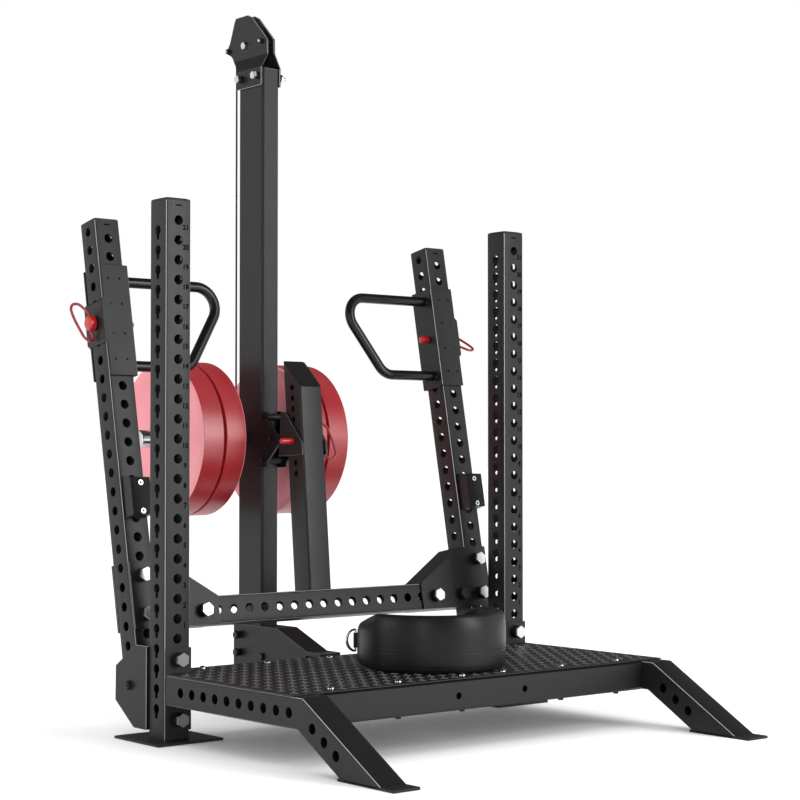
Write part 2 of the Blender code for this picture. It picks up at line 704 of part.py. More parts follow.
BAIL_SHAPE = ((0.000, 0.0208), (0.000, 0.0250), (0.005, 0.0300), (0.017, 0.0400), (0.029, 0.0490),
              (0.040, 0.0510), (0.050, 0.0475), (0.0550, 0.0380), (0.0540, 0.0260), (0.0455, 0.0030),
              (0.0325, -0.0230), (0.0230, -0.0395), (0.0100, -0.0490), (0.0000, -0.0490),
              (-0.0050, -0.0420), (-0.0040, -0.0330), (0.000, -0.0260), (0.000, -0.0208))


def bail_path(hub, out_way, up_way, narrow=-1.0):
    """The wire's points from its place in the knob. narrow limits how far it reaches back."""
    return [Vector(hub) + out_way * max(out, narrow) + up_way * up for out, up in BAIL_SHAPE]


def trolley_pin(label, side):
    outside = HALF + RUN + PLATE
    knob_near = outside + 0.0015
    knob = (knob_near, knob_near + 0.020)
    tip = INNER - RUN - PLATE - 0.028
    pull_pin(label + "_trolley_pin", side, HALF - HUB_R, (0, PIN_U), knob, PIN_R, tip, LEANING)
    hub = (side * (knob_near + 0.010), 0, PIN_U)
    turn = RIGHT_BAIL_TURN if side > 0 else 0.0
    path = bail_path(hub, Vector((side, 0, 0)), Vector((0, -math.sin(turn), math.cos(turn))))
    wire(label + "_trolley_bail", path, BAIL_R, RED, LEANING, hub, smoothness=1)


# Catch post, its bracket and pin
def catch_post():
    """A short post that stands on the cross-member, with a slanting closed top."""
    slant = math.tan(LEAN - CATCH_LEAN)
    rise = (CATCH_TOP_BACK - CATCH_TOP_FRONT) / TUBE

    def foot(a, b):
        return Vector((a, b, -b * slant))

    def top(a, b):
        return Vector((a, b, CATCH_TOP_FRONT + (b + HUB_R) * rise))

    post = tube("catch_post", [foot, top], TUBE, TUBE, WALL, POWDER, CATCH_FRAME, lid=PLATE)
    holes = [circle((0, CATCH_FIRST_HOLE - k * CATCH_HOLE_PITCH), CATCH_HOLE_R, 6)
             for k in range(CATCH_HOLES)]
    drill(post, holes, -0.06, 0.06, "x")


def catch_pin_centre():
    """Where the catch pin's axis crosses the middle plane, in the machine's frame."""
    u = CATCH_FIRST_HOLE - CATCH_PIN_HOLE * CATCH_HOLE_PITCH
    return (CATCH_FOOT_Y + u * math.sin(CATCH_LEAN),
            cross_member_top(CATCH_FOOT_Y) + u * math.cos(CATCH_LEAN))


def catch_bracket():
    """Two cheeks on the post, a back plate, and the tongue that the carriage's lug rests on."""
    near, far = CATCH_PLATE_X
    left = prism("catch_bracket", CATCH_OUTLINE, -far, -near, "x", POWDER, MACHINE)
    right = prism("catch_bracket_right", CATCH_OUTLINE, near, far, "x", POWDER, MACHINE)
    back_y = 0.2935
    back = block("catch_bracket_back", (-far + 0.001, far - 0.001), (back_y, back_y + 0.006),
                 (0.726, 0.790), POWDER, MACHINE)
    rest = LUG[1] - LUG_R - GAP
    tongue_outline = ((back_y + 0.003, rest - 0.036), (back_y + 0.003, rest), (LUG[0] + 0.014, rest),
                      (LUG[0] + 0.014, rest - 0.010))
    tongue = prism("catch_bracket_tongue", tongue_outline, -0.024, 0.024, "x", POWDER, MACHINE)
    weld(left, back, right, tongue)
    drill(left, [circle(catch_pin_centre(), CATCH_PIN_R + 0.0006, 8)], -0.06, 0.06, "x")


def catch_pin():
    knob_near = CATCH_PLATE_X[1] + 0.0015
    centre = catch_pin_centre()
    pull_pin("catch_pin", 1, 0, centre, (knob_near, knob_near + 0.014), CATCH_PIN_R,
             CATCH_PIN_TIP, MACHINE)
    hub = (knob_near + 0.007, centre[0], centre[1])
    path = bail_path(hub, Vector((1, 0, 0)), Vector((0, 0, -1)), narrow=-0.0025)
    wire("catch_bail", path, BAIL_R, RED, MACHINE, hub, smoothness=1)


# Mast with its foot, foot bracket and pulley head
def mast():
    y_mid, depth = sum(MAST_Y) / 2, MAST_Y[1] - MAST_Y[0]
    post = tube("mast", [along_z(0, y_mid, PLATE / 2), along_z(0, y_mid, MAST_TOP)],
                2 * SPINE_X, depth, MAST_WALL, POWDER, MACHINE)
    foot = block("mast_foot", (-MAST_FOOT_X, MAST_FOOT_X), MAST_FOOT_Y, (0, PLATE), POWDER, MACHINE)
    weld(post, foot)
    x, (z0, z1) = MAST_SLOT_X, MAST_SLOT_Z
    drill(post, [[(-x, z0), (x, z0), (x, z1), (-x, z1)]], MAST_Y[0] - 0.01, MAST_Y[0] + 0.01, "y")


def mast_foot_bracket():
    """Cheeks either side of the mast's foot and the centre rail, with a folded top flange."""
    near, far = SPINE_X + GAP, SPINE_X + GAP + 0.0057
    top, tongue = FOOT_BRACKET_TOP, CENTRE_RAIL_TOP + 0.0102
    seat = CENTRE_RAIL_TOP + GAP
    cheek = ((0.545, 0.105), (0.545, top), (0.330, top), (0.185, tongue), (0.125, tongue),
             (0.125, seat), (0.190, seat), (0.230, 0.105))
    flange = ((MAST_Y[0] - GAP, top - PLATE), (MAST_Y[0] - GAP, top), (0.330, top), (0.185, tongue),
              (0.125, tongue), (0.125, seat), (0.1874, seat), (0.3316, top - PLATE))
    left = prism("mast_foot_bracket", cheek, -far, -near, "x", POWDER, MACHINE)
    right = prism("mast_foot_bracket_right", cheek, near, far, "x", POWDER, MACHINE)
    strip = prism("mast_foot_bracket_flange", flange, -near - 0.003, near + 0.003, "x", POWDER, MACHINE)
    weld(left, strip, right)
    drill(left, [circle(BASE_PULLEY, AXLE_R + GAP, 8)], -0.06, 0.06, "x")


def head_plate(label, side):
    """A plate on the mast's side that steps in above the mast to hold the top pulley."""
    low, high = HEAD_LOW_X, HEAD_HIGH_X
    rows = ((1.806, low, 0.4125, 0.540), (1.860, low, 0.4125, 0.540), (1.900, high, 0.4105, 0.578),
            (1.919, high, 0.4110, 0.597), (1.930, high, 0.4115, 0.619), (1.944, high, 0.4120, 0.617),
            (1.960, high, 0.4285, 0.604), (2.019, high, 0.4880, 0.580), (2.030, high, 0.5110, 0.573))
    bm = bmesh.new()
    loops = [[Vector((side * x, y0, z)), Vector((side * x, y1, z)),
              Vector((side * (x + HEAD_PLATE), y1, z)), Vector((side * (x + HEAD_PLATE), y0, z))]
             for z, x, y0, y1 in rows]
    ends = skin(bm, loops)
    bm.faces.new(ends[0])
    bm.faces.new(ends[-1])
    plate = place(bm, label + "_head_plate", POWDER, MACHINE)
    drill(plate, [circle(TOP_PULLEY, AXLE_R + GAP, 8)], *spread(side, 0, 0.06), "x")


def axles():
    """Pins that the pulleys turn on, with a head at each end, and the cable's guard rods."""
    spans = (("head_axle", TOP_PULLEY, HEAD_HIGH_X + HEAD_PLATE),
             ("base_pulley_axle", BASE_PULLEY, SPINE_X + GAP + 0.0057),
             ("deck_pulley_axle", DECK_PULLEY, SPINE_X))
    for name, centre, face in spans:
        face += GAP
        rings = [(-face - 0.008, 0.012), (-face, 0.012), (-face, AXLE_R),
                 (face, AXLE_R), (face, 0.012), (face + 0.008, 0.012)]
        stack(name, rings, "x", centre, 8, ZINC, MACHINE)
    reach = HEAD_HIGH_X - GAP
    for name, centre in (("front_guard_rod", (0.440, 1.941)), ("rear_guard_rod", (0.609, 1.936))):
        stack(name, [(-reach, 0.006), (reach, 0.006)], "x", centre, 8, ZINC, MACHINE)


def pulley(name, centre, cable_r, rim, sides):
    """A grooved wheel that turns on its axle."""
    groove = cable_r - CABLE_R - 0.001
    half, bore = PULLEY_HALF, AXLE_R + 0.0007
    profile = [(bore, -half), (rim, -half), (rim, -half + 0.0015), (groove, -0.0033),
               (groove, 0.0033), (rim, half - 0.0015), (rim, half), (bore, half)]
    revolve(name, profile, "x", centre, sides, PULLEY_PLASTIC, MACHINE, (0, *centre))


# Weight carriage: it rides on the mast on four rollers and carries the weight plates
def carriage():
    """Two cheeks joined by a front lug, two spacers and, through them, the horn bar."""
    near, far = CARRIAGE_X
    origin = (0, HORN_Y, HORN_Z)
    cheek = [(0.319, 0.757), (0.319, 0.779), (0.378, 0.831), (0.378, 0.851), (0.412, 0.854),
             (0.556, 0.846), (0.634, 0.800), (0.634, 0.746), (0.556, 0.704), (0.412, 0.690),
             (0.378, 0.692), (0.378, 0.7045)]
    left = prism("carriage", cheek, -far, -near, "x", POWDER, MACHINE, origin)
    right = prism("carriage_right", cheek, near, far, "x", POWDER, MACHINE)
    bars = [stack("carriage_bar%d" % i, [(-near - 0.003, r), (near + 0.003, r)], "x", spot, 8,
                  POWDER, MACHINE)
            for i, (spot, r) in enumerate(((LUG, LUG_R), ((0.5475, 0.7734), 0.009)))]
    weld(left, *bars, right)
    drill(left, [circle((HORN_Y, HORN_Z), HORN_R + GAP, 12)], -0.06, 0.06, "x")
    seats = [circle((y, z), 0.0046, 5) for z in ROLLER_Z for y in roller_places()]
    drill(left, seats, -0.06, 0.06, "x")


def roller_places():
    """Y of the front and the rear rollers, which run on the mast's faces."""
    return (MAST_Y[0] - ROLLER_R - GAP, MAST_Y[1] + ROLLER_R + GAP)


def rollers():
    names = (("lower_front", "lower_rear"), ("upper_front", "upper_rear"))
    inside, outside = CARRIAGE_X[0] - 2 * GAP, CARRIAGE_X[1]
    for z, row in zip(ROLLER_Z, names):
        for y, name in zip(roller_places(), row):
            rings = [(-outside, 0.0035), (-inside, 0.0035), (-inside, ROLLER_R),
                     (inside, ROLLER_R), (inside, 0.0035), (outside, 0.0035)]
            stack(name + "_roller", rings, "x", (y, z), 8, CAP_PLASTIC, MACHINE, (0, y, z))


def horn_bar():
    """One bright bar through the carriage, with a collar that each inner plate stops against."""
    collar = (COLLAR_START, WEIGHT_START - GAP)
    rings = [(HORN_END, HORN_R - 0.004), (HORN_END - 0.004, HORN_R), (collar[1], HORN_R),
             (collar[1], COLLAR_R), (collar[0], COLLAR_R), (collar[0], HORN_R)]
    ends = [(-t, r) for t, r in rings] + [(t, r) for t, r in reversed(rings)]
    stack("horn_bar", ends, "x", (HORN_Y, HORN_Z), 12, CHROME, MACHINE, (0, HORN_Y, HORN_Z))


def weight_plates(label, side):
    """Two bumper plates: a raised rim and hub with a dished web between them."""
    bore, rim = HORN_R + 0.0012, WEIGHT_R
    for i, place_name in enumerate(("inner", "outer")):
        near = WEIGHT_START + i * (WEIGHT_THICK + GAP)
        far = near + WEIGHT_THICK - (0 if i else GAP)
        profile = [(bore, near), (rim - 0.006, near), (rim, near + 0.006), (rim, far - 0.006),
                   (rim - 0.006, far), (0.188, far), (0.176, far - 0.008), (0.074, far - 0.008),
                   (0.070, far), (bore, far)]
        if place_name == "inner":
            profile = profile[:5] + [(bore, far)]
        revolve("%s_%s_weight" % (label, place_name), [(r, side * t) for r, t in profile], "x",
                (HORN_Y, HORN_Z), 22, RED_RUBBER, MACHINE, (0, HORN_Y, HORN_Z))


# The cable, from the carriage over the mast and under the deck to the belt
def arc(centre, radius, start, end, steps):
    """Points of an arc in the YZ plane, with angles in degrees from +Y towards +Z."""
    angles = [math.radians(start + (end - start) * i / steps) for i in range(steps + 1)]
    return [Vector((0, centre[0] + radius * math.cos(t), centre[1] + radius * math.sin(t)))
            for t in angles]


def cables():
    over = arc(TOP_PULLEY, PULLEY_R, 0, 180, 12)
    under_mast = arc(BASE_PULLEY, PULLEY_R, 0, -90, 6)
    under_deck = arc(DECK_PULLEY, DECK_PULLEY_R, 270, 180, 6)
    wire("cable", over + under_mast + under_deck, CABLE_R, CABLE_COAT, MACHINE)
    top = TOP_PULLEY[1] - GAP
    stack("cable_rear_run", [(HORN_Z + HORN_R + 2 * GAP, CABLE_R), (top, CABLE_R)], "z",
          (0, REAR_RUN_Y), 8, CABLE_COAT, MACHINE, (0, REAR_RUN_Y, top))
    low = DECK_PULLEY[1] + GAP
    stack("cable_lift", [(low, CABLE_R), (BELT_LOW, CABLE_R)], "z", (0, LIFT_Y), 8,
          CABLE_COAT, MACHINE, (0, LIFT_Y, low))


def cable_stop():
    """The rubber ball that stops the cable at the deck, with an eye for the carabiner."""
    low = BELT_LOW + GAP
    rings = [(low, 0.010), (low + 0.006, STOP_BALL_R), (low + 0.018, STOP_BALL_R), (low + 0.026, 0.010)]
    ball = stack("cable_stop", rings, "z", (0, LIFT_Y), 8, CAP_PLASTIC, MACHINE)
    eye_z = low + 0.036
    eye = prism("cable_stop_eye", circle((0, eye_z), 0.013, 8, math.pi / 8), LIFT_Y - 0.003, LIFT_Y + 0.003,
                "y", CAP_PLASTIC, MACHINE)
    weld(ball, eye)
    drill(ball, [circle((0, eye_z), 0.0065, 8, math.pi / 8)], LIFT_Y - 0.01, LIFT_Y + 0.01, "y")
    width, height, corner = 0.024, 0.086, 0.018
    path = []
    for y, z, start in ((-1, 0, 180), (1, 0, 270), (1, 1, 0), (-1, 1, 90)):
        middle = (LIFT_Y + y * (width - corner), eye_z + (height - corner if z else corner))
        path += arc(middle, corner, start, start + 90, 3)
    wire("carabiner", path, 0.0045, ZINC, MACHINE, cyclic=True, smoothness=1)


# The belt stands on its lower edge on the deck, open at the back
def belt():
    """A padded strap bent into a C: crowned outside, with rounded ends."""
    half, thick = BELT_HEIGHT / 2, BELT_THICK
    shape = ((-0.30, -1.0), (0.30, -1.0), (0.50, -0.86), (0.56, 0.0), (0.50, 0.86),
             (0.30, 1.0), (-0.30, 1.0), (-0.44, 0.8), (-0.44, -0.8))
    z_mid = BELT_LOW + half
    loops = []
    for i in range(BELT_STATIONS + 1):
        share = i / BELT_STATIONS
        angle = BELT_ARC[0] + (BELT_ARC[1] - BELT_ARC[0]) * share
        from_end = min(share, 1 - share) * BELT_STATIONS
        squeeze = min(1.0, 0.72 + 0.28 * math.sqrt(min(1.0, from_end / 2)))
        loops.append([Vector((BELT_CENTRE[0] + (BELT_R + r * thick) * math.cos(angle),
                              BELT_CENTRE[1] + (BELT_R + r * thick) * math.sin(angle),
                              z_mid + h * half * squeeze)) for r, h in shape])
    bm = bmesh.new()
    rows = skin(bm, loops)
    bm.faces.new(rows[0])
    bm.faces.new(rows[-1])
    strap = place(bm, "belt", LEATHER, MACHINE, smooth=True)
    return strap


for name, sign in SIDES:
    upright(name, sign)
    end_cap(name + "_upright_cap", sign * (HALF - HUB_R), HUB_R, UPRIGHT_TOP, MACHINE)
    side_rail(name, sign)
    leaning_post(name, sign)
    end_cap(name + "_post_cap", sign * (HALF - HUB_R), 0, POST_TOP, LEANING)
    post_bracket(name, sign)
    gusset(name, sign)
    stop_block(name, sign)
    trolley(name, sign)
    trolley_pin(name, sign)
    head_plate(name, sign)
    weight_plates(name, sign)

deck_frame()
deck_plate()
centre_channel()
centre_rail()
cross_member()
catch_post()
catch_bracket()
catch_pin()
mast()
mast_foot_bracket()
axles()
pulley("top_pulley", TOP_PULLEY, PULLEY_R, PULLEY_RIM, 16)
pulley("base_pulley", BASE_PULLEY, PULLEY_R, PULLEY_RIM, 16)
pulley("deck_pulley", DECK_PULLEY, DECK_PULLEY_R, DECK_PULLEY_RIM, 12)
carriage()
rollers()
horn_bar()
cables()
cable_stop()
belt()
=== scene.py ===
# %% [markdown]
# # A belt squat machine
# The machine is a steel rack with a deck to stand on. A cable runs under the deck from a padded belt
# to a carriage that slides up a mast at the back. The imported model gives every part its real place.
# This script keeps those places and gives each part the shape and finish that the eye expects: round
# holes in the tubes, rolled corners, bolts, a tread pattern, rubber, chrome and leather.

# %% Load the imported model
import json
import math

import bmesh
import bpy
from mathutils import Matrix, Vector


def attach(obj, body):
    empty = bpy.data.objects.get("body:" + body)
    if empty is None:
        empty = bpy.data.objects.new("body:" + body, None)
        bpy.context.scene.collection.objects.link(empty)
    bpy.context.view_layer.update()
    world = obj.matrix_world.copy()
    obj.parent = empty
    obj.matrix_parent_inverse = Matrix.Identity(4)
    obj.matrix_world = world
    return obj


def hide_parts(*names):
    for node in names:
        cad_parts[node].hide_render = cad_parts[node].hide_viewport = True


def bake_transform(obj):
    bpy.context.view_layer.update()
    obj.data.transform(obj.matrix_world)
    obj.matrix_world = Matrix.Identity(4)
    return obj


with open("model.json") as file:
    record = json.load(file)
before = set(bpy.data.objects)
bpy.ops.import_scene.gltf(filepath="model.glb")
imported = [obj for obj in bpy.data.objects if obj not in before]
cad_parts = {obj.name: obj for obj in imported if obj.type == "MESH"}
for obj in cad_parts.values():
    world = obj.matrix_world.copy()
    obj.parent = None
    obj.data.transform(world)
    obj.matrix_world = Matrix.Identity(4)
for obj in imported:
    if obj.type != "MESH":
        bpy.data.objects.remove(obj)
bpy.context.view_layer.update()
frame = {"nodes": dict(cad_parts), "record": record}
print("nodes in the packed model:", len(frame["nodes"]))

# %% [markdown]
# ## Where things are
# The rack is symmetric about X = 0 and stands on Z = 0. It is easiest to write a part down in a frame
# of its own, as on a drawing: one frame for the upright pieces, one that leans back eleven degrees
# with the posts, and one for the catch post. A matrix then carries a finished mesh to its place.

# %% Frames and the sizes that many pieces share
ORIGIN_Y = 0.045            # from the middle of the footprint back to the uprights' front faces
LEAN = math.radians(11)
CATCH_LEAN = math.radians(4.96)
MACHINE = Matrix.Translation((0, ORIGIN_Y, 0))
LEANING = MACHINE @ Matrix.Translation((0, 0.1906, 0.3060)) @ Matrix.Rotation(-LEAN, 4, "X")
CATCH = MACHINE @ Matrix.Translation((0, 0.2048, 0.34236)) @ Matrix.Rotation(-CATCH_LEAN, 4, "X")

TUBE = 0.0762               # outside of the square tube, three inches
WALL = 0.0045
CORNER = 0.0065             # outside radius of the tube's rolled corners
PITCH = 0.0508              # from one hole to the next, two inches
HOLE_R = 0.0127
PLATE = 0.00635             # a quarter of an inch
GAP = 0.0003                # between parts that touch
HALF = 0.6223               # from the middle to the rack's outer face
INNER = HALF - TUBE
POST_X = HALF - TUBE / 2
UPRIGHT_Y = TUBE / 2
UPRIGHT_TOP = 1.378
POST_TOP = 1.0668           # along the leaning post
FIRST_HOLE = 0.05715
SIDES = (("left", -1), ("right", 1))
print("rack width:", 2 * HALF, "hole pitch:", PITCH)

# %% [markdown]
# ## Camera
# A photograph of straight tubes with evenly spaced holes gives its own camera: the holes fix where
# the lens stood, which way it looked and how long it was. It is a long lens, low down, and it looks
# slightly up, so the uprights stay almost parallel.

# %% The camera
camera_data = bpy.data.cameras.new("camera")
camera_data.lens = 85.08
camera_data.sensor_width = 36
camera = bpy.data.objects.new("camera", camera_data)
camera.location = (-3.21647, -4.07237 + ORIGIN_Y, 0.73478)
camera.rotation_euler = (math.radians(91.577), 0, math.radians(-39.571))
bpy.context.collection.objects.link(camera)
bpy.context.scene.camera = camera
bpy.context.scene.view_settings.view_transform = "Standard"
print("lens:", camera_data.lens, "mm on", camera_data.sensor_width, "mm")

# %% [markdown]
# ## One helper for nodes
# Materials and Geometry Nodes are both trees. This helper adds a node, sets its options by name, and
# plugs in or fills its inputs, so that a tree reads like a list of what it does.

# %% Add a node to a tree
def node(tree, kind, inputs=None, **options):
    """A new node whose inputs are linked where a socket is given and filled where a value is."""
    made = tree.nodes.new(kind)
    for option, value in options.items():
        setattr(made, option, value)
    for key, value in (inputs or {}).items():
        if isinstance(value, bpy.types.NodeSocket):
            tree.links.new(value, made.inputs[key])
        else:
            made.inputs[key].default_value = value
    return made

# %% [markdown]
# ## Light and backdrop
# The photograph is a studio shot on white. Black satin paint has little colour of its own, so what it
# reflects is what gives it shape. The camera and glass see plain white. Shiny surfaces see two walls
# instead, left and right of the view, that fade towards both ends and the ceiling, and a brighter
# panel in front and to the right, whose reflection draws the light edges. Matte surfaces are lit by a
# soft sky that is brightest overhead, a little to the back and the right, and by three soft boxes.

# %% The studio
SKY_LOW, SKY_HIGH = 0.42, 1.62
SKY_PEAK = (0.28, 0.30, 0.91)
WALL_END, WALL_TOP, PANEL = 0.11, 0.06, 3.4
VIEW_LINE = (0.637, 0.771, 0)
PANEL_AT = (0.42, -0.91, 0)
world = bpy.data.worlds.new("studio")
bpy.context.scene.world = world
world.use_nodes = True
sky_tree = world.node_tree
sky_tree.nodes.clear()
direction = node(sky_tree, "ShaderNodeTexCoord").outputs["Generated"]


def pointing(toward):
    """How much the ray points one way, from -1 to 1."""
    made = node(sky_tree, "ShaderNodeVectorMath", {0: direction, 1: toward}, operation="DOT_PRODUCT")
    return made.outputs["Value"]


def fade(value, start, end, low, high):
    """Go from low to high while a value goes from start to end."""
    made = node(sky_tree, "ShaderNodeMapRange", {"Value": value, "From Min": start, "From Max": end,
                                                 "To Min": low, "To Max": high})
    return made.outputs[0]


def product(a, b):
    """Multiply two values."""
    return node(sky_tree, "ShaderNodeMath", {0: a, 1: b}, operation="MULTIPLY").outputs[0]


sky = fade(pointing(SKY_PEAK), 0.15, 0.85, SKY_LOW, SKY_HIGH)
soft = node(sky_tree, "ShaderNodeBackground", {"Strength": sky})
depth = node(sky_tree, "ShaderNodeMath", {0: pointing(VIEW_LINE)}, operation="ABSOLUTE").outputs[0]
height = node(sky_tree, "ShaderNodeSeparateXYZ", {0: direction}).outputs["Z"]
wall = product(fade(depth, 0.45, 0.92, 1.0, WALL_END), fade(height, 0.30, 0.60, 1.0, WALL_TOP))
wall = product(wall, fade(pointing(PANEL_AT), 0.945, 0.982, 1.0, PANEL))
walls = node(sky_tree, "ShaderNodeBackground", {"Strength": wall})
white = node(sky_tree, "ShaderNodeBackground", {"Strength": 1.0})
for background in (soft, walls, white):
    background.inputs["Color"].default_value = (1, 1, 1, 1)
ray = node(sky_tree, "ShaderNodeLightPath").outputs
seen = node(sky_tree, "ShaderNodeMath", {0: ray["Is Camera Ray"], 1: ray["Is Transmission Ray"]},
            operation="MAXIMUM")
shiny = node(sky_tree, "ShaderNodeMixShader", {
    0: ray["Is Glossy Ray"], 1: soft.outputs[0], 2: walls.outputs[0]})
whole = node(sky_tree, "ShaderNodeMixShader", {0: seen.outputs[0], 1: shiny.outputs[0], 2: white.outputs[0]})
node(sky_tree, "ShaderNodeOutputWorld", {0: whole.outputs[0]})


def soft_box(name, place, aim, width, height, power):
    """A rectangular lamp at a place, turned to face a point."""
    lamp = bpy.data.lights.new(name, "AREA")
    lamp.shape = "RECTANGLE"
    lamp.size = width
    lamp.size_y = height
    lamp.energy = power
    holder = bpy.data.objects.new(name, lamp)
    holder.location = place
    holder.rotation_euler = (Vector(aim) - Vector(place)).to_track_quat("-Z", "Y").to_euler()
    bpy.context.collection.objects.link(holder)


soft_box("front_box", (1.85, -4.45, 2.2), (0, 0, 1.0), width=1.8, height=3.0, power=108)
soft_box("strip_box", (-4.6, -3.8, 1.75), (0, 0, 0.9), width=0.8, height=3.0, power=42)
soft_box("left_box", (-4.4, 1.6, 1.4), (0, 0.2, 0.8), width=2.2, height=2.2, power=20)
print("soft boxes:", ", ".join(lamp.name for lamp in bpy.data.lights))

# %% [markdown]
# The floor is a plain white sheet. It has to look as white as the world behind it and still take the
# soft shadow under the deck, so it is a pale matte surface with a little light of its own.

# %% The floor
FLOOR_Z = -0.0005
FLOOR_REACH = 60
FLOOR_SHADE, FLOOR_GLOW = 0.88, 0.10
floor_mesh = bpy.data.meshes.new("floor")
floor_corners = [(x * FLOOR_REACH, y * FLOOR_REACH, FLOOR_Z) for x, y in ((-1, -1), (1, -1), (1, 1), (-1, 1))]
floor_mesh.from_pydata(floor_corners, [], [(0, 1, 2, 3)])
floor = bpy.data.objects.new("floor", floor_mesh)
bpy.context.collection.objects.link(floor)
floor_paint = bpy.data.materials.new("white_floor")
floor_paint.use_nodes = True
floor_tree = floor_paint.node_tree
floor_tree.nodes.clear()
matte = node(floor_tree, "ShaderNodeBsdfDiffuse", {"Color": (FLOOR_SHADE, FLOOR_SHADE, FLOOR_SHADE, 1)})
lit = node(floor_tree, "ShaderNodeLightPath")
fill_light = node(floor_tree, "ShaderNodeMath", {0: lit.outputs["Is Camera Ray"], 1: FLOOR_GLOW},
                  operation="MULTIPLY")
glow = node(floor_tree, "ShaderNodeEmission", {"Color": (1, 1, 1, 1), "Strength": fill_light.outputs[0]})
floor_sum = node(floor_tree, "ShaderNodeAddShader", {0: matte.outputs[0], 1: glow.outputs[0]})
node(floor_tree, "ShaderNodeOutputMaterial", {0: floor_sum.outputs[0]})
floor_mesh.materials.append(floor_paint)

# %% [markdown]
# ## Finishes
# Nearly all of the machine is black powder coat: a satin skin with a very fine orange peel, which
# spreads highlights. One function makes a plain finish, and a second adds grain to it: a slow noise
# that varies the colour and gloss a little, and a fine one that drives the bump.

# %% Make a finish and give it grain
FINISHES = {}


def finish(name, colour, roughness, metallic=0.0, **sockets):
    """A Principled material that the pieces look up by name."""
    mat = bpy.data.materials.new(name)
    mat.use_nodes = True
    shader = mat.node_tree.nodes["Principled BSDF"]
    shader.inputs["Base Color"].default_value = (*colour, 1)
    shader.inputs["Roughness"].default_value = roughness
    shader.inputs["Metallic"].default_value = metallic
    for key, value in sockets.items():
        shader.inputs[key.replace("_", " ")].default_value = value
    FINISHES[name] = mat
    return mat


def grain(mat, fine, depth, slow=14.0, shade=0.12, gloss=0.06):
    """Vary a finish slowly in shade and gloss, and roughen it with a fine bump."""
    tree = mat.node_tree
    shader = tree.nodes["Principled BSDF"]
    where = node(tree, "ShaderNodeTexCoord").outputs["Object"]
    cloud = node(tree, "ShaderNodeTexNoise", {"Vector": where, "Scale": slow, "Detail": 4.0})
    colour = shader.inputs["Base Color"].default_value[:3]
    dark = [c * (1 - shade) for c in colour]
    pale = [min(1.0, c * (1 + shade)) for c in colour]
    mix = node(tree, "ShaderNodeMix", {"Factor": cloud.outputs["Fac"]}, data_type="RGBA")
    mix.inputs[6].default_value = (*dark, 1)
    mix.inputs[7].default_value = (*pale, 1)
    tree.links.new(mix.outputs[2], shader.inputs["Base Color"])
    base = shader.inputs["Roughness"].default_value
    spread = node(tree, "ShaderNodeMapRange", {"Value": cloud.outputs["Fac"], "To Min": base - gloss,
                                               "To Max": base + gloss})
    tree.links.new(spread.outputs[0], shader.inputs["Roughness"])
    peel = node(tree, "ShaderNodeTexNoise", {"Vector": where, "Scale": fine, "Detail": 2.0})
    bump = node(tree, "ShaderNodeBump", {"Height": peel.outputs["Fac"], "Distance": depth, "Strength": 0.5})
    tree.links.new(bump.outputs["Normal"], shader.inputs["Normal"])

# %% [markdown]
# Each finish has its colour and gloss, then the scale of its peel and how deep that is in metres. Several
# of them stand for light and shade rather than paint: the rolled corners of the black parts get a pale
# finish, a painted highlight, because a real corner this small gathers one bright line; the raised part
# of the tread gets a lighter finish, a painted highlight where light catches it; the flat faces of the
# red plates get pale pinks, a painted sheen where light grazes them; the left rail's bolt heads get a
# darker zinc, a painted dark reflection; and the black ink of the numbers is also painted shade in the
# narrow slots and screw sockets.

# %% Metal, plastic and rubber finishes
grain(finish("powder_coat", (0.011, 0.011, 0.0115), 0.38, Specular_IOR_Level=0.29), 900, 0.0002)
# Pale finish for the rolled corners of black parts: a painted highlight.
grain(finish("coat_edge", (0.36, 0.36, 0.365), 0.24, Specular_IOR_Level=1.0), 900, 0.0001)
grain(finish("handle_gloss", (0.006, 0.006, 0.0065), 0.26, Specular_IOR_Level=0.36), 500, 0.00008)
grain(finish("deck_paint", (0.006, 0.006, 0.0065), 0.40, Specular_IOR_Level=0.5), 700, 0.0001)
# Paler colour for the tread lozenges: a painted highlight where light catches them.
grain(finish("tread_paint", (0.110, 0.110, 0.111), 0.34, Specular_IOR_Level=0.6), 700, 0.0001)
# A darker zinc: painted dark reflection for bolts that mirror a dark surrounding.
grain(finish("dark_steel", (0.20, 0.20, 0.205), 0.32, 1.0), 300, 0.00005, shade=0.06)
grain(finish("black_plastic", (0.012, 0.012, 0.0125), 0.46, Specular_IOR_Level=0.36), 1200, 0.00012)
grain(finish("stop_rubber", (0.008, 0.008, 0.0085), 0.65, Specular_IOR_Level=0.25), 1200, 0.0002)
grain(finish("pulley_nylon", (0.016, 0.016, 0.0165), 0.36), 800, 0.00006)
grain(finish("red_coat", (0.58, 0.014, 0.018), 0.28, Coat_Weight=0.3), 600, 0.00005, gloss=0.04)
grain(finish("red_wire", (0.34, 0.010, 0.016), 0.28, Coat_Weight=0.3), 600, 0.00005, gloss=0.04)
grain(finish("red_rubber", (0.42, 0.016, 0.024), 0.34, Specular_IOR_Level=1.0), 420, 0.00020, slow=9,
      shade=0.07)
# Pale pinks for the plates' flat faces: a painted sheen of the light on the red rubber.
grain(finish("red_rubber_face", (0.96, 0.34, 0.38), 0.42), 420, 0.00020, slow=9, shade=0.04)
grain(finish("red_rubber_back", (0.80, 0.27, 0.32), 0.50), 420, 0.00020, slow=9, shade=0.05)
grain(finish("chrome", (0.62, 0.62, 0.63), 0.12, 1.0), 60, 0.00001, shade=0.03, gloss=0.03)
grain(finish("zinc", (0.66, 0.66, 0.67), 0.30, 1.0), 300, 0.00005, shade=0.06)
grain(finish("cable_jacket", (0.015, 0.015, 0.016), 0.30), 500, 0.00005)
grain(finish("webbing", (0.010, 0.010, 0.011), 0.75), 1500, 0.0004)
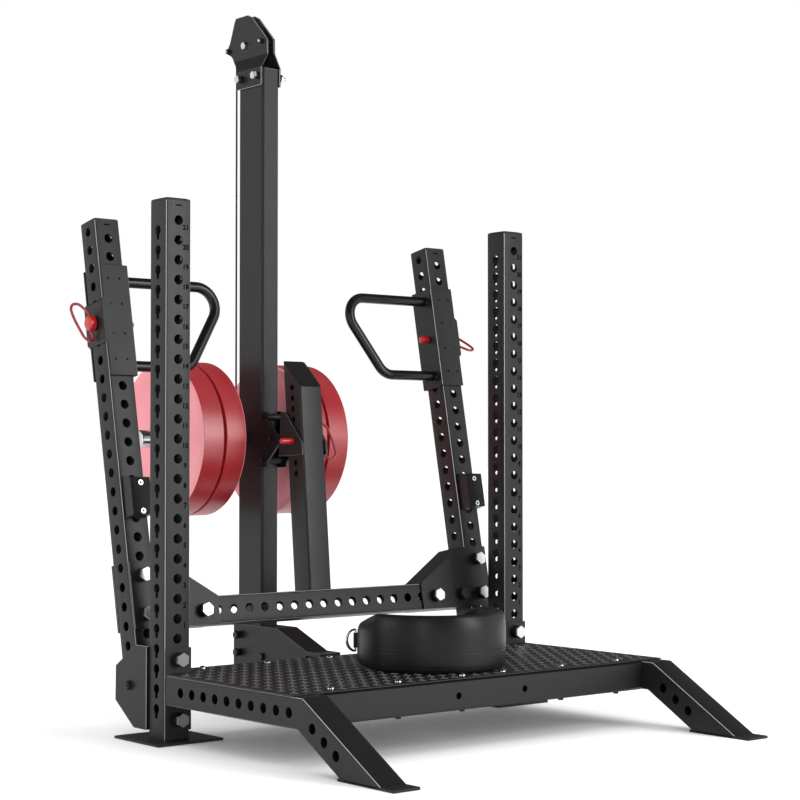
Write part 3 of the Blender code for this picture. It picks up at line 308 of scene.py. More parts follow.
# Black ink for the printed hole numbers, also used as painted shade in narrow slots and screw sockets.
grain(finish("number_ink", (0.002, 0.002, 0.002), 0.9, Specular_IOR_Level=0.0), 900, 0.00002)
print("finishes:", ", ".join(FINISHES))

# %% [markdown]
# Padded leather has two scales of relief: pebbles about a millimetre and a half across, where
# cracks meet, and a soft waviness over the padding below. A Voronoi texture gives the pebbles.

# %% Leather
leather = finish("leather", (0.008, 0.008, 0.0085), 0.36, Specular_IOR_Level=0.26)
hide_tree = leather.node_tree
skin_where = node(hide_tree, "ShaderNodeTexCoord").outputs["Object"]
pebbles = node(hide_tree, "ShaderNodeTexVoronoi", {"Vector": skin_where, "Scale": 620.0}, feature="SMOOTH_F1")
waves = node(hide_tree, "ShaderNodeTexNoise", {"Vector": skin_where, "Scale": 26.0, "Detail": 3.0})
pebble_bump = node(hide_tree, "ShaderNodeBump", {
    "Height": pebbles.outputs["Distance"], "Distance": 0.0003, "Strength": 0.35})
wave_bump = node(hide_tree, "ShaderNodeBump", {
    "Height": waves.outputs["Fac"], "Distance": 0.0012, "Strength": 0.4,
    "Normal": pebble_bump.outputs["Normal"]})
worn = node(hide_tree, "ShaderNodeMapRange", {"Value": waves.outputs["Fac"], "To Min": 0.28, "To Max": 0.40})
hide_tree.links.new(wave_bump.outputs["Normal"], hide_tree.nodes["Principled BSDF"].inputs["Normal"])
hide_tree.links.new(worn.outputs[0], hide_tree.nodes["Principled BSDF"].inputs["Roughness"])

# %% [markdown]
# ## Mesh helpers
# Everything on this machine is a plate, a tube, a turned piece or a bent bar. Each helper adds one
# closed shell of that kind to a bmesh, as loops of points joined by side faces. An outline lies in
# the plane across the named axis, so the same helper makes a plate that faces any way.

# %% Plates, tubes and turned pieces
AXES = {"x": lambda t, a, b: Vector((t, a, b)),
        "z": lambda t, a, b: Vector((a, b, t))}


def skin(bm, loops, ring=False):
    """Join loops of points by side faces and return their vertices."""
    rows = [[bm.verts.new(point) for point in loop] for loop in loops]
    pairs = list(zip(rows, rows[1:]))
    if ring:
        pairs.append((rows[-1], rows[0]))
    for low, high in pairs:
        for i in range(len(low)):
            j = (i + 1) % len(low)
            bm.faces.new((low[i], low[j], high[j], high[i]))
    return rows


def add_plate(bm, outline, low, high, axis, bevel, segments=2):
    """A flat plate cut to an outline, with its edges just broken."""
    at = AXES[axis]
    known = set(bm.faces)
    rows = skin(bm, [[at(t, a, b) for a, b in outline] for t in (low, high)])
    bm.faces.new(rows[0])
    bm.faces.new(rows[1])
    if bevel:
        rims = {edge for face in bm.faces if face not in known for edge in face.edges}
        bmesh.ops.bevel(bm, geom=list(rims), offset=bevel, segments=segments, affect="EDGES",
                        clamp_overlap=True)


def add_box(bm, x, y, z, bevel=0.0009):
    """A plate with a rectangular outline."""
    add_plate(bm, ((x[0], y[0]), (x[1], y[0]), (x[1], y[1]), (x[0], y[1])), z[0], z[1], "z", bevel)


def circle(radius, sides, centre=(0, 0)):
    """Points of a regular polygon."""
    step = 2 * math.pi / sides
    return [(centre[0] + radius * math.cos(i * step), centre[1] + radius * math.sin(i * step))
            for i in range(sides)]


def add_turned(bm, profile, axis, centre, sides, ring=False):
    """A turned piece from (place along the axis, radius). A ring profile closes on itself."""
    at = AXES[axis]
    rows = skin(bm, [[at(t, a, b) for a, b in circle(r, sides, centre)] for t, r in profile], ring)
    if not ring:
        bm.faces.new(rows[0])
        bm.faces.new(rows[-1])


def rounded(width, depth, radius, steps=5):
    """A rectangle about its middle with rolled corners."""
    points = []
    for x, y, start in ((1, 1, 0), (-1, 1, 90), (-1, -1, 180), (1, -1, 270)):
        for i in range(steps + 1):
            turn = math.radians(start + 90 * i / steps)
            points.append((x * (width / 2 - radius) + radius * math.cos(turn),
                           y * (depth / 2 - radius) + radius * math.sin(turn)))
    return points


def add_tube(bm, stations):
    """The square tube through stations, each a function from the section's (a, b) to a point."""
    outer = skin(bm, [[at(a, b) for a, b in rounded(TUBE, TUBE, CORNER)] for at in stations])
    bore = rounded(TUBE - 2 * WALL, TUBE - 2 * WALL, CORNER - WALL * 0.8)
    inner = skin(bm, [[at(a, b) for a, b in bore] for at in stations])
    for out_row, in_row in ((outer[0], inner[0]), (outer[-1], inner[-1])):
        for i in range(len(out_row)):
            j = (i + 1) % len(out_row)
            bm.faces.new((out_row[i], out_row[j], in_row[j], in_row[i]))


def spread(side, near, far):
    """The X range between two distances from the middle, on one side of the machine."""
    return tuple(sorted((side * near, side * far)))

# %% [markdown]
# A bent bar is one outline carried along a path. The paths here are all flat, so the direction square
# to the plane can serve as up at every point, and the section never twists.

# %% Bars along a path
def smooth_path(points, steps):
    """Points of a smooth curve through the given ones."""
    last = len(points) - 1
    result = []
    for i in range(last):
        a, b, c, d = (points[min(max(i + k, 0), last)] for k in (-1, 0, 1, 2))
        for k in range(steps):
            t = k / steps
            result.append(0.5 * (2 * b + (c - a) * t + (2 * a - 5 * b + 4 * c - d) * t * t
                                 + (3 * b - a - 3 * c + d) * t ** 3))
    result.append(points[last])
    return result


def add_bar(bm, points, outline, up, cyclic=False):
    """A bar of a given section along a flat path. up is square to the path's plane."""
    up = Vector(up).normalized()
    count = len(points)
    loops = []
    for i, point in enumerate(points):
        ahead = points[(i + 1) % count] if cyclic else points[min(i + 1, count - 1)]
        behind = points[i - 1] if cyclic else points[max(i - 1, 0)]
        across = up.cross((ahead - behind).normalized()).normalized()
        loops.append([point + across * a + up * b for a, b in outline])
    rows = skin(bm, loops, ring=cyclic)
    if not cyclic:
        bm.faces.new(rows[0])
        bm.faces.new(rows[-1])

# %% [markdown]
# A bmesh becomes a piece in two steps. First its faces are turned outwards and it gets its finishes.
# Then the mesh itself is carried to its place, so that the object stays at the origin, and the piece is
# tied to the body it moves with and hides the imported nodes it stands for. Between the two, a helper
# looks for long narrow faces that slant between two flat ones, which is what a rolled corner is, and
# gives them a pale finish: a painted highlight.

# %% From a bmesh to a piece
EDGE_LENGTH, EDGE_WIDTH = 0.02, 0.003


def to_mesh(bm, name, *finishes):
    """Close a bmesh into a mesh whose faces point outwards."""
    bmesh.ops.recalc_face_normals(bm, faces=bm.faces)
    mesh = bpy.data.meshes.new(name)
    bm.to_mesh(mesh)
    bm.free()
    for key in finishes:
        mesh.materials.append(FINISHES[key])
    return mesh


def burnish(mesh, side=0):
    """Give narrow faces on long corners, or just the upright ones on a side, a pale painted highlight."""
    mesh.materials.append(FINISHES["coat_edge"])
    for face in mesh.polygons:
        if side and (side * face.normal.x < 0 or abs(face.normal.z) > 0.3):
            continue
        parts = sorted(abs(c) for c in face.normal)
        slants = (parts[0] < 0.16 and parts[1] > 0.6) or 0.66 < abs(face.normal.x) < 0.75
        length = max((mesh.vertices[a].co - mesh.vertices[b].co).length for a, b in face.edge_keys)
        width = face.area / length
        if slants and length > EDGE_LENGTH and width < EDGE_WIDTH:
            face.material_index = len(mesh.materials) - 1


def piece(name, mesh, body, nodes=(), matrix=MACHINE, smooth=None, corners=False):
    """Put a mesh in its place, let it ride on a body and stand for the nodes it replaces."""
    # With corners, the narrow corner faces get the pale painted highlight.
    if corners:
        burnish(mesh)
    mesh.transform(matrix)
    if smooth:
        mesh.shade_smooth()
        mesh.set_sharp_from_angle(angle=math.radians(smooth))
    made = bpy.data.objects.new(name, mesh)
    bpy.context.collection.objects.link(made)
    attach(made, body)
    if nodes:
        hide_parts(*nodes)
    return made


def joined(name, *meshes):
    """One mesh made of several."""
    bm = bmesh.new()
    for part in meshes:
        bm.from_mesh(part)
    mesh = bpy.data.meshes.new(name)
    bm.to_mesh(mesh)
    bm.free()
    for mat in meshes[0].materials:
        mesh.materials.append(mat)
    return mesh

# %% [markdown]
# ## Drilling a row of holes
# Four posts, a cross-member, two rails and a short post all carry the same thing: a row of equal
# holes at an equal pitch. That is a rule, so one Geometry Nodes tree drills them all. It sets a line
# of points, puts a cutter on each one, and subtracts them from the tube. A keyhole is the round
# cutter joined to a slot that hangs from it.

# %% The tree that drills a row
def new_tree(name, inputs):
    """An empty tree with a Geometry input, named inputs and a Geometry output."""
    tree = bpy.data.node_groups.new(name, "GeometryNodeTree")
    sockets = tree.interface
    sockets.new_socket("Geometry", in_out="INPUT", socket_type="NodeSocketGeometry")
    for key, kind in inputs:
        sockets.new_socket(key, in_out="INPUT", socket_type="NodeSocket" + kind)
    sockets.new_socket("Geometry", in_out="OUTPUT", socket_type="NodeSocketGeometry")
    return tree, node(tree, "NodeGroupInput").outputs


def end_tree(tree, geometry, finish_socket):
    """Realize the instances, set the finish and send the result out."""
    real = node(tree, "GeometryNodeRealizeInstances", {0: geometry})
    painted = node(tree, "GeometryNodeSetMaterial", {0: real.outputs[0], "Material": finish_socket})
    node(tree, "NodeGroupOutput", {0: painted.outputs[0]})


def run_tree(mesh, tree, name, **values):
    """Run a tree on a mesh and return what it makes as a plain mesh."""
    holder = bpy.data.objects.new("holder", mesh)
    bpy.context.collection.objects.link(holder)
    modifier = holder.modifiers.new(tree.name, "NODES")
    modifier.node_group = tree
    for item in tree.interface.items_tree:
        if item.in_out == "INPUT" and item.name.replace(" ", "_") in values:
            modifier[item.identifier] = values[item.name.replace(" ", "_")]
    graph = bpy.context.evaluated_depsgraph_get()
    made = bpy.data.meshes.new_from_object(holder.evaluated_get(graph), depsgraph=graph)
    made.name = name
    bpy.data.objects.remove(holder, do_unlink=True)
    return made


drill_tree, given = new_tree("drilled_row", (
    ("Count", "Int"), ("First", "Vector"), ("Step", "Vector"), ("Turn", "Vector"), ("Radius", "Float"),
    ("Depth", "Float"), ("Slot Width", "Float"), ("Slot Drop", "Float"), ("Finish", "Material")))
round_cutter = node(drill_tree, "GeometryNodeMeshCylinder", {
    "Vertices": 28, "Radius": given["Radius"], "Depth": given["Depth"]})
half_slot = node(drill_tree, "ShaderNodeMath", {0: given["Slot Width"], 1: 0.5}, operation="MULTIPLY")
slot_end = node(drill_tree, "GeometryNodeMeshCylinder", {
    "Vertices": 20, "Radius": half_slot.outputs[0], "Depth": given["Depth"]})
slot_size = node(drill_tree, "ShaderNodeCombineXYZ", {
    0: given["Slot Width"], 1: given["Slot Drop"], 2: given["Depth"]})
slot_block = node(drill_tree, "GeometryNodeMeshCube", {"Size": slot_size.outputs[0]})
down = node(drill_tree, "ShaderNodeMath", {0: given["Slot Drop"], 1: -1.0}, operation="MULTIPLY")
half_down = node(drill_tree, "ShaderNodeMath", {0: given["Slot Drop"], 1: -0.5}, operation="MULTIPLY")
end_place = node(drill_tree, "ShaderNodeCombineXYZ", {1: down.outputs[0]})
block_place = node(drill_tree, "ShaderNodeCombineXYZ", {1: half_down.outputs[0]})
moved_end = node(drill_tree, "GeometryNodeTransform", {
    0: slot_end.outputs["Mesh"], "Translation": end_place.outputs[0]})
moved_block = node(drill_tree, "GeometryNodeTransform", {
    0: slot_block.outputs["Mesh"], "Translation": block_place.outputs[0]})
keyhole = node(drill_tree, "GeometryNodeMeshBoolean", {1: round_cutter.outputs["Mesh"]},
               operation="UNION", solver="EXACT")
drill_tree.links.new(moved_end.outputs[0], keyhole.inputs[1])
drill_tree.links.new(moved_block.outputs[0], keyhole.inputs[1])
has_slot = node(drill_tree, "FunctionNodeCompare", {0: given["Slot Drop"], 1: 0.0},
                data_type="FLOAT", operation="GREATER_THAN")
cutter = node(drill_tree, "GeometryNodeSwitch", {
    "Switch": has_slot.outputs[0], "False": round_cutter.outputs["Mesh"], "True": keyhole.outputs[0]},
    input_type="GEOMETRY")
row = node(drill_tree, "GeometryNodeMeshLine", {
    "Count": given["Count"], "Start Location": given["First"], "Offset": given["Step"]})
aim = node(drill_tree, "FunctionNodeEulerToRotation", {0: given["Turn"]})
cutters = node(drill_tree, "GeometryNodeInstanceOnPoints", {
    "Points": row.outputs[0], "Instance": cutter.outputs[0], "Rotation": aim.outputs[0]})
real_cutters = node(drill_tree, "GeometryNodeRealizeInstances", {0: cutters.outputs[0]})
drilled = node(drill_tree, "GeometryNodeMeshBoolean", {
    0: given["Geometry"], 1: real_cutters.outputs[0]}, operation="DIFFERENCE", solver="EXACT")
end_tree(drill_tree, drilled.outputs[0], given["Finish"])

FROM_FRONT = (math.radians(90), 0.0, 0.0)
FROM_SIDE = (math.radians(90), 0.0, math.radians(90))


def drill(mesh, name, count, first, step, turn, radius=HOLE_R, slot_width=0.0, slot_drop=0.0, depth=0.2):
    """Drill a row of holes, or of keyholes where there is a slot drop."""
    return run_tree(mesh, drill_tree, name, Count=count, First=first, Step=step, Turn=turn, Radius=radius,
                    Depth=depth, Slot_Width=slot_width, Slot_Drop=slot_drop, Finish=FINISHES["powder_coat"])

# %% [markdown]
# ## Uprights
# Each upright is a three inch square tube, welded to a plate on the floor. The front carries
# round holes and the sides carry keyholes, half a pitch away, that rack hardware hooks into. The tube
# is a shell with rolled corners, because it is those corners that catch the light as a fine line, and
# that line is also painted on them as a pale highlight.

# %% The uprights
FIRST_KEYHOLE = 0.08255
KEY_WIDTH, KEY_DROP = 0.0125, 0.0185
BASE_X, BASE_Y = (INNER - 0.0698, HALF + 0.050), (-0.050, 0.160)
for label, side in SIDES:
    mid = side * POST_X
    bm = bmesh.new()
    add_tube(bm, [lambda a, b, z=z, m=mid: Vector((m + a, UPRIGHT_Y + b, z)) for z in (0.003, UPRIGHT_TOP)])
    tube = to_mesh(bm, "upright", "powder_coat")
    tube = drill(tube, "upright", 26, (mid, UPRIGHT_Y, FIRST_HOLE), (0, 0, PITCH), FROM_FRONT)
    tube = drill(tube, "upright", 25, (mid, UPRIGHT_Y, FIRST_KEYHOLE), (0, 0, PITCH), FROM_SIDE,
                 slot_width=KEY_WIDTH, slot_drop=KEY_DROP)
    bm = bmesh.new()
    add_box(bm, spread(side, *BASE_X), BASE_Y, (0, PLATE))
    base = to_mesh(bm, "base", "powder_coat")
    made = piece(label + "_upright_tube", joined("upright", tube, base), "rack",
                 [label + "_upright"], smooth=15, corners=True)
    print(made.name, len(made.data.polygons), "faces")

# %% [markdown]
# ## Leaning posts and cross-member
# The posts are drawn upright in the leaning frame and tipped back with it. Their side holes are the
# ones the pull pins go into, at half a pitch from the front ones. The cross-member ties the posts
# together and leans as they do, so it belongs to the same frame.

# %% The leaning posts and the cross-member
POST_FOOT = -0.245
for label, side in SIDES:
    mid = side * POST_X
    bm = bmesh.new()
    add_tube(bm, [lambda a, b, z=z, m=mid: Vector((m + a, b, z)) for z in (POST_FOOT, POST_TOP)])
    post = to_mesh(bm, "post", "powder_coat")
    post = drill(post, "post", 25, (mid, 0, -4 * PITCH), (0, 0, PITCH), FROM_FRONT)
    post = drill(post, "post", 25, (mid, 0, -3.5 * PITCH), (0, 0, PITCH), FROM_SIDE)
    piece(label + "_lean_tube", post, "rack", [label + "_lean_post"], LEANING, 15,
          corners=True)

reach = INNER - GAP
bm = bmesh.new()
add_tube(bm, [lambda a, b, x=x: Vector((x, a, b)) for x in (-reach, reach)])
beam = drill(to_mesh(bm, "beam", "powder_coat"), "beam", 17, (-8 * PITCH, 0, 0), (PITCH, 0, 0), FROM_FRONT)
made = piece("cross_tube", beam, "rack", ["cross_member"], LEANING, 15, corners=True)
print(made.name, round(2 * reach, 4), "m long")

# %% [markdown]
# ## Deck rails
# A rail runs forward from each upright and is cut and welded down into a leg. The mitre lies on the
# line that halves the angle, so the tube passes through three stations: its end at the upright, the
# mitre, and the ground. A plate joins it to the upright and another makes the foot.

# %% The deck rails
RAIL_MID = 0.13335
RAIL_FIRST_HOLE, LEG_FIRST_HOLE = -0.073, 0.0656
BEND_Y = -0.5718
SLOPE = math.radians(30)
CHEEK_Z, FOOT_Y = (0.0289, 0.2378), (-0.912, -0.712)


def mitre(mid, a, b):
    """A point of the section where the rail turns down."""
    return Vector((mid + a, BEND_Y - b * math.tan(SLOPE / 2), RAIL_MID + b))


def ground(mid, a, b):
    """The same point where the leg meets the foot."""
    turn = mitre(mid, a, b)
    return Vector((turn.x, turn.y - (turn.z - PLATE / 2) / math.tan(SLOPE), PLATE / 2))


for label, side in SIDES:
    mid = side * POST_X
    bm = bmesh.new()
    add_tube(bm, [lambda a, b, m=mid: Vector((m + a, -PLATE / 2, RAIL_MID + b)),
                  lambda a, b, m=mid: mitre(m, a, b), lambda a, b, m=mid: ground(m, a, b)])
    rail = drill(to_mesh(bm, "rail", "powder_coat"), "rail", 10, (side * HALF, RAIL_FIRST_HOLE, RAIL_MID),
                 (0, -PITCH, 0), FROM_SIDE, depth=0.03)
    top = mitre(mid, 0, TUBE / 2)
    first = (mid, top.y - LEG_FIRST_HOLE * math.cos(SLOPE) + TUBE / 2 * math.sin(SLOPE),
             top.z - LEG_FIRST_HOLE * math.sin(SLOPE) - TUBE / 2 * math.cos(SLOPE))
    rail = drill(rail, "rail", 3, first, (0, -PITCH * math.cos(SLOPE), -PITCH * math.sin(SLOPE)), FROM_SIDE)
    bm = bmesh.new()
    across = spread(side, INNER, HALF)
    add_box(bm, across, (-GAP - PLATE, -GAP), CHEEK_Z)
    add_box(bm, across, FOOT_Y, (0, PLATE))
    plates = to_mesh(bm, "plates", "powder_coat")
    piece(label + "_rail_tube", joined("rail", rail, plates), "rack",
          [label + "_side_rail"], smooth=15, corners=True)

# %% [markdown]
# ## Plates and folded parts
# The flat parts already have the right outline in the imported model. What they lack is an edge: real
# sheet metal is never razor sharp, and its broken edge draws a thin pale line. A copy of the node is
# merged, its flat regions are dissolved into whole faces, and only true edges get a small bevel. On the
# powder-coated parts that bevel is coloured pale, a painted highlight.

# %% Break the edges of a packed plate
BEAM_HOLE_R = 0.0087
BEAM_HOLES = (2, (-0.112, ORIGIN_Y - 0.545, 0.1320), (0.224, 0, 0))
SHARP = math.radians(25)


def dress(label, finish_name, slot, body="rack", bevel=0.0010, holes=None):
    """Stand in for a packed plate with a copy whose edges are broken."""
    bm = bmesh.new()
    bm.from_mesh(frame["nodes"][label].data)
    bmesh.ops.remove_doubles(bm, verts=bm.verts, dist=0.00002)
    bmesh.ops.dissolve_limit(bm, angle_limit=math.radians(1), verts=bm.verts, edges=bm.edges)
    rims = [e for e in bm.edges if len(e.link_faces) == 2 and e.calc_face_angle() > SHARP]
    bmesh.ops.bevel(bm, geom=rims, offset=bevel, segments=1, affect="EDGES", clamp_overlap=True)
    mesh = bpy.data.meshes.new(label)
    bm.to_mesh(mesh)
    bm.free()
    if holes:
        mesh = drill(mesh, label, *holes, FROM_FRONT, radius=BEAM_HOLE_R, depth=0.02)
    mesh.materials.clear()
    mesh.materials.append(FINISHES[finish_name])
    # Powder-coated plates get the pale painted highlight on their narrow bevels.
    piece(label + "_edged", mesh, body, [label], Matrix.Identity(4), None, slot == "powder_coat")
    print(label, "edges broken:", len(rims))


for label in ("rear_beam", "centre_channel", "centre_rail", "left_post_bracket",
              "right_post_bracket", "left_gusset", "right_gusset", "catch_bracket", "mast",
              "mast_foot_bracket", "left_head_plate", "right_head_plate"):
    dress(label, "powder_coat", "powder_coat")
dress("front_beam", "powder_coat", "powder_coat", holes=BEAM_HOLES)
dress("deck_plate", "deck_paint", "deck_paint", bevel=0.0008)
dress("carriage", "handle_gloss", "powder_coat", "carriage", bevel=0.0006)

# %% [markdown]
# ## End caps
# A moulded cap closes each tube. It is a flat square at the rim and rises to a low dome, which shows
# as a slight arch over the top of the upright. Rounded squares that shrink as they rise make it.

# %% The end caps
CAP_ROWS = ((-0.018, 0.865), (0.0003, 0.865), (0.0003, 0.985), (0.0012, 1.0), (0.0030, 1.0),
            (0.0050, 0.955), (0.0068, 0.82), (0.0082, 0.60), (0.0090, 0.32))


def end_cap(label, mid_x, mid_y, top, matrix):
    """A cap whose rows give the height over the tube and the share of its width."""
    bm = bmesh.new()
    loops = []
    for rise, size in CAP_ROWS:
        square = rounded(TUBE * size, TUBE * size, CORNER * size + 0.02 * (1 - size), 4)
        loops.append([Vector((mid_x + a, mid_y + b, top + rise)) for a, b in square])
    ends = skin(bm, loops)
    bm.faces.new(ends[0])
    bm.faces.new(ends[-1])
    piece(label + "_dome", to_mesh(bm, "cap", "black_plastic"), "rack", [label],
          matrix, smooth=40)


for label, side in SIDES:
    end_cap(label + "_upright_cap", side * POST_X, UPRIGHT_Y, UPRIGHT_TOP, MACHINE)
    end_cap(label + "_post_cap", side * POST_X, 0, POST_TOP, LEANING)

# %% [markdown]
# ## Hole numbers
# Every front hole of an upright is numbered from the bottom, so that two people can set the same
# height. Text objects make the figures. They become one thin mesh on the face of the tube. A short
# slot is cut above them, and near the top of each leaning post. It is so narrow that its inside is all
# shade, and a thin dark plate on the face stands for it: painted shade, not a cut.

# %% The numbers and the slots
NUMBER_SIZE = 0.0185
NUMBER_RIGHT, NUMBER_DROP = 0.0215, 0.018       # from a hole's middle to its number's
NUMBER_DEPTH = 0.00012
UPRIGHT_SLOT, POST_SLOT = 1.3640, 1.0528


def figure(text, x, z):
    """The mesh of a number that faces the front, with its middle at (x, z)."""
    curve = bpy.data.curves.new("figure", "FONT")
    curve.body = text
    curve.size = NUMBER_SIZE
    curve.extrude = NUMBER_DEPTH
    curve.offset = 0.0006
    curve.align_x = "CENTER"
    curve.align_y = "CENTER"
    curve.resolution_u = 2
    holder = bpy.data.objects.new("figure", curve)
    mesh = bpy.data.meshes.new_from_object(holder)
    mesh.transform(Matrix.Translation((x, -NUMBER_DEPTH, z)) @ Matrix.Rotation(math.radians(90), 4, "X"))
    bpy.data.objects.remove(holder)
    return mesh


def top_slot(mid, face_y, low):
    """A thin dark plate on a front face near the top of a post: painted shade for a narrow slot."""
    bm = bmesh.new()
    add_box(bm, (mid - 0.010, mid + 0.010), (face_y - 0.00015, face_y + 0.0005), (low, low + 0.0035), 0)
    return to_mesh(bm, "slot", "number_ink")


for label, side in SIDES:
    mid = side * POST_X
    figures = [figure(str(k), mid + NUMBER_RIGHT, FIRST_HOLE + (k + 4) * PITCH - NUMBER_DROP)
               for k in range(1, 22)]
    # A thin dark plate above the numbers: painted shade for the slot.
    figures.append(top_slot(mid, 0, UPRIGHT_SLOT))
    numbers = joined("numbers", *figures)
    numbers.materials.clear()
    numbers.materials.append(FINISHES["number_ink"])
    piece(label + "_hole_numbers", numbers, "rack", smooth=None)
    piece(label + "_post_slot", top_slot(mid, -TUBE / 2, POST_SLOT), "rack", (), LEANING, None)
print("numbers on an upright:", len(figures) - 1)

# %% [markdown]
# ## Things that sit on a surface
# Bolt heads, spacers, screws and tread bumps are all small shapes that stand on a face. A mesh of
# loose points says where, and each point carries the direction its shape looks in. One tree stands a
# stepped cylinder on every point. Another lays a low lens there, turned by an angle of its own.

# %% The trees for studs and for lenses
def spots(places):
    """A mesh of loose points with a direction and a turn on each."""
    mesh = bpy.data.meshes.new("spots")
    mesh.from_pydata([p for p, _, _ in places], [], [])
    aims = mesh.attributes.new("aim", "FLOAT_VECTOR", "POINT")
    aims.data.foreach_set("vector", [c for _, aim_at, _ in places for c in aim_at])
    turns = mesh.attributes.new("turn", "FLOAT", "POINT")
    turns.data.foreach_set("value", [turn for _, _, turn in places])
    return mesh


def stand_on_points(tree, given, shape):
    """Instances of a shape on the input's points, with Z along each point's own direction."""
    aim_at = node(tree, "GeometryNodeInputNamedAttribute", {"Name": "aim"}, data_type="FLOAT_VECTOR")
    turn = node(tree, "GeometryNodeInputNamedAttribute", {"Name": "turn"}, data_type="FLOAT")
    spin = node(tree, "ShaderNodeCombineXYZ", {2: turn.outputs[0]})
    spun = node(tree, "FunctionNodeEulerToRotation", {0: spin.outputs[0]})
    facing = node(tree, "FunctionNodeAlignRotationToVector", {"Vector": aim_at.outputs[0]}, axis="Z")
    both = node(tree, "FunctionNodeRotateRotation", {0: facing.outputs[0], 1: spun.outputs[0]},
                rotation_space="LOCAL")
    stood = node(tree, "GeometryNodeInstanceOnPoints", {
        "Points": given["Geometry"], "Instance": shape, "Rotation": both.outputs[0]})
    return stood.outputs[0]


stud_tree, given = new_tree("studs", (
    ("Sides", "Int"), ("Radius", "Float"), ("Height", "Float"), ("Chamfer", "Float"), ("Lift", "Float"),
    ("Finish", "Material")))
shank = node(stud_tree, "GeometryNodeMeshCylinder", {
    "Vertices": given["Sides"], "Radius": given["Radius"], "Depth": given["Height"]})
half_up = node(stud_tree, "ShaderNodeMath", {0: given["Height"], 1: 0.5, 2: given["Lift"]},
               operation="MULTIPLY_ADD")
shank_place = node(stud_tree, "ShaderNodeCombineXYZ", {2: half_up.outputs[0]})
shank_up = node(stud_tree, "GeometryNodeTransform", {
    0: shank.outputs["Mesh"], "Translation": shank_place.outputs[0]})
narrow = node(stud_tree, "ShaderNodeMath", {0: given["Radius"], 1: given["Chamfer"]}, operation="SUBTRACT")
crown = node(stud_tree, "GeometryNodeMeshCone", {
    "Vertices": given["Sides"], "Radius Bottom": given["Radius"], "Radius Top": narrow.outputs[0],
    "Depth": given["Chamfer"]})
crown_base = node(stud_tree, "ShaderNodeMath", {0: given["Height"], 1: given["Lift"]}, operation="ADD")
crown_place = node(stud_tree, "ShaderNodeCombineXYZ", {2: crown_base.outputs[0]})
crown_up = node(stud_tree, "GeometryNodeTransform", {
    0: crown.outputs["Mesh"], "Translation": crown_place.outputs[0]})
stud = node(stud_tree, "GeometryNodeJoinGeometry", {0: shank_up.outputs[0]})
stud_tree.links.new(crown_up.outputs[0], stud.inputs[0])
end_tree(stud_tree, stand_on_points(stud_tree, given, stud.outputs[0]), given["Finish"])

lens_tree, given = new_tree("lenses", (
    ("Length", "Float"), ("Width", "Float"), ("Rise", "Float"), ("Segments", "Int"), ("Rings", "Int"),
    ("Finish", "Material")))
ball = node(lens_tree, "GeometryNodeMeshUVSphere", {
    "Segments": given["Segments"], "Rings": given["Rings"], "Radius": 1.0})
lens_size = node(lens_tree, "ShaderNodeCombineXYZ", {
    0: given["Length"], 1: given["Width"], 2: given["Rise"]})
half_size = node(lens_tree, "ShaderNodeVectorMath", {0: lens_size.outputs[0], 1: (0.5, 0.5, 1.0)},
                 operation="MULTIPLY")
lens = node(lens_tree, "GeometryNodeTransform", {0: ball.outputs["Mesh"], "Scale": half_size.outputs[0]})
end_tree(lens_tree, stand_on_points(lens_tree, given, lens.outputs[0]), given["Finish"])


def studs(name, places, body, finish_name, sides, radius, height, chamfer, lift=0.0, matrix=MACHINE):
    """One piece of stepped cylinders that stand on places, raised by a lift."""
    mesh = run_tree(spots(places), stud_tree, name, Sides=sides, Radius=radius, Height=height,
                    Chamfer=chamfer, Lift=lift, Finish=FINISHES[finish_name])
    piece(name, mesh, body, matrix=matrix, smooth=25)


def lenses(name, places, body, finish_name, length, width, rise, segments, rings):
    """One piece of low lenses that lie on places."""
    mesh = run_tree(spots(places), lens_tree, name, Length=length, Width=width, Rise=rise,
                    Segments=segments, Rings=rings, Finish=FINISHES[finish_name])
    piece(name, mesh, body, smooth=60)
    print(name, len(places))

# %% [markdown]
# ## Deck tread
# The deck is sheet with short raised lozenges that turn left and right from row to row, so that a
# foot can't slide either way. They lie on a lattice 35.4 mm wide and 50.4 mm deep, with one more in the
# middle of each cell, which is every second point of a grid of half that size. The lozenges are coloured
# a little paler than the sheet, a painted highlight where light catches them. The rows stop short of
# the edges, the cable's slot and the screws.

# %% The tread bumps
UP = (0, 0, 1)
DECK_TOP = 0.17495
TREAD_X, TREAD_Y, TREAD_START = 0.0177, 0.0252, -0.0187
TREAD_TURN = math.atan2(TREAD_Y, TREAD_X)
FRONT_SCREWS_Y, BACK_SCREWS_Y = -0.507, 0.038
SCREWS = [(x, y) for x in (-0.4827, -0.276, -0.0685, 0.0685, 0.276, 0.4827)
          for y in (FRONT_SCREWS_Y, BACK_SCREWS_Y)]
SCREW_ROOM = 0.021


def on_deck(x, y):
    """Whether there is room for a bump at a place."""
    between_rails = abs(x) < HALF - 0.012 and -0.533 < y < -0.022
    between_uprights = abs(x) < INNER - 0.014 and -0.03 < y < 0.058
    slot = abs(x) < 0.028 and -0.325 < y < -0.175
    screw = any(math.hypot(x - sx, y - sy) < SCREW_ROOM for sx, sy in SCREWS)
    return (between_rails or between_uprights) and not slot and not screw


bumps = []
for j in range(-21, 4):
    for i in range(-34, 35):
        x, y = i * TREAD_X, j * TREAD_Y + TREAD_START
        if (i + j) % 2 == 0 and on_deck(x, y):
            bumps.append(((x, y, DECK_TOP), UP, TREAD_TURN if j % 2 else -TREAD_TURN))
lenses("deck_tread", bumps, "rack", "tread_paint", 0.024, 0.0068, 0.0020, 10, 5)

# %% [markdown]
# Twelve domed screws hold the sheet down. Their polished heads are lenses too, round and higher. Where
# the front row comes through the beam below, its ends show under it.

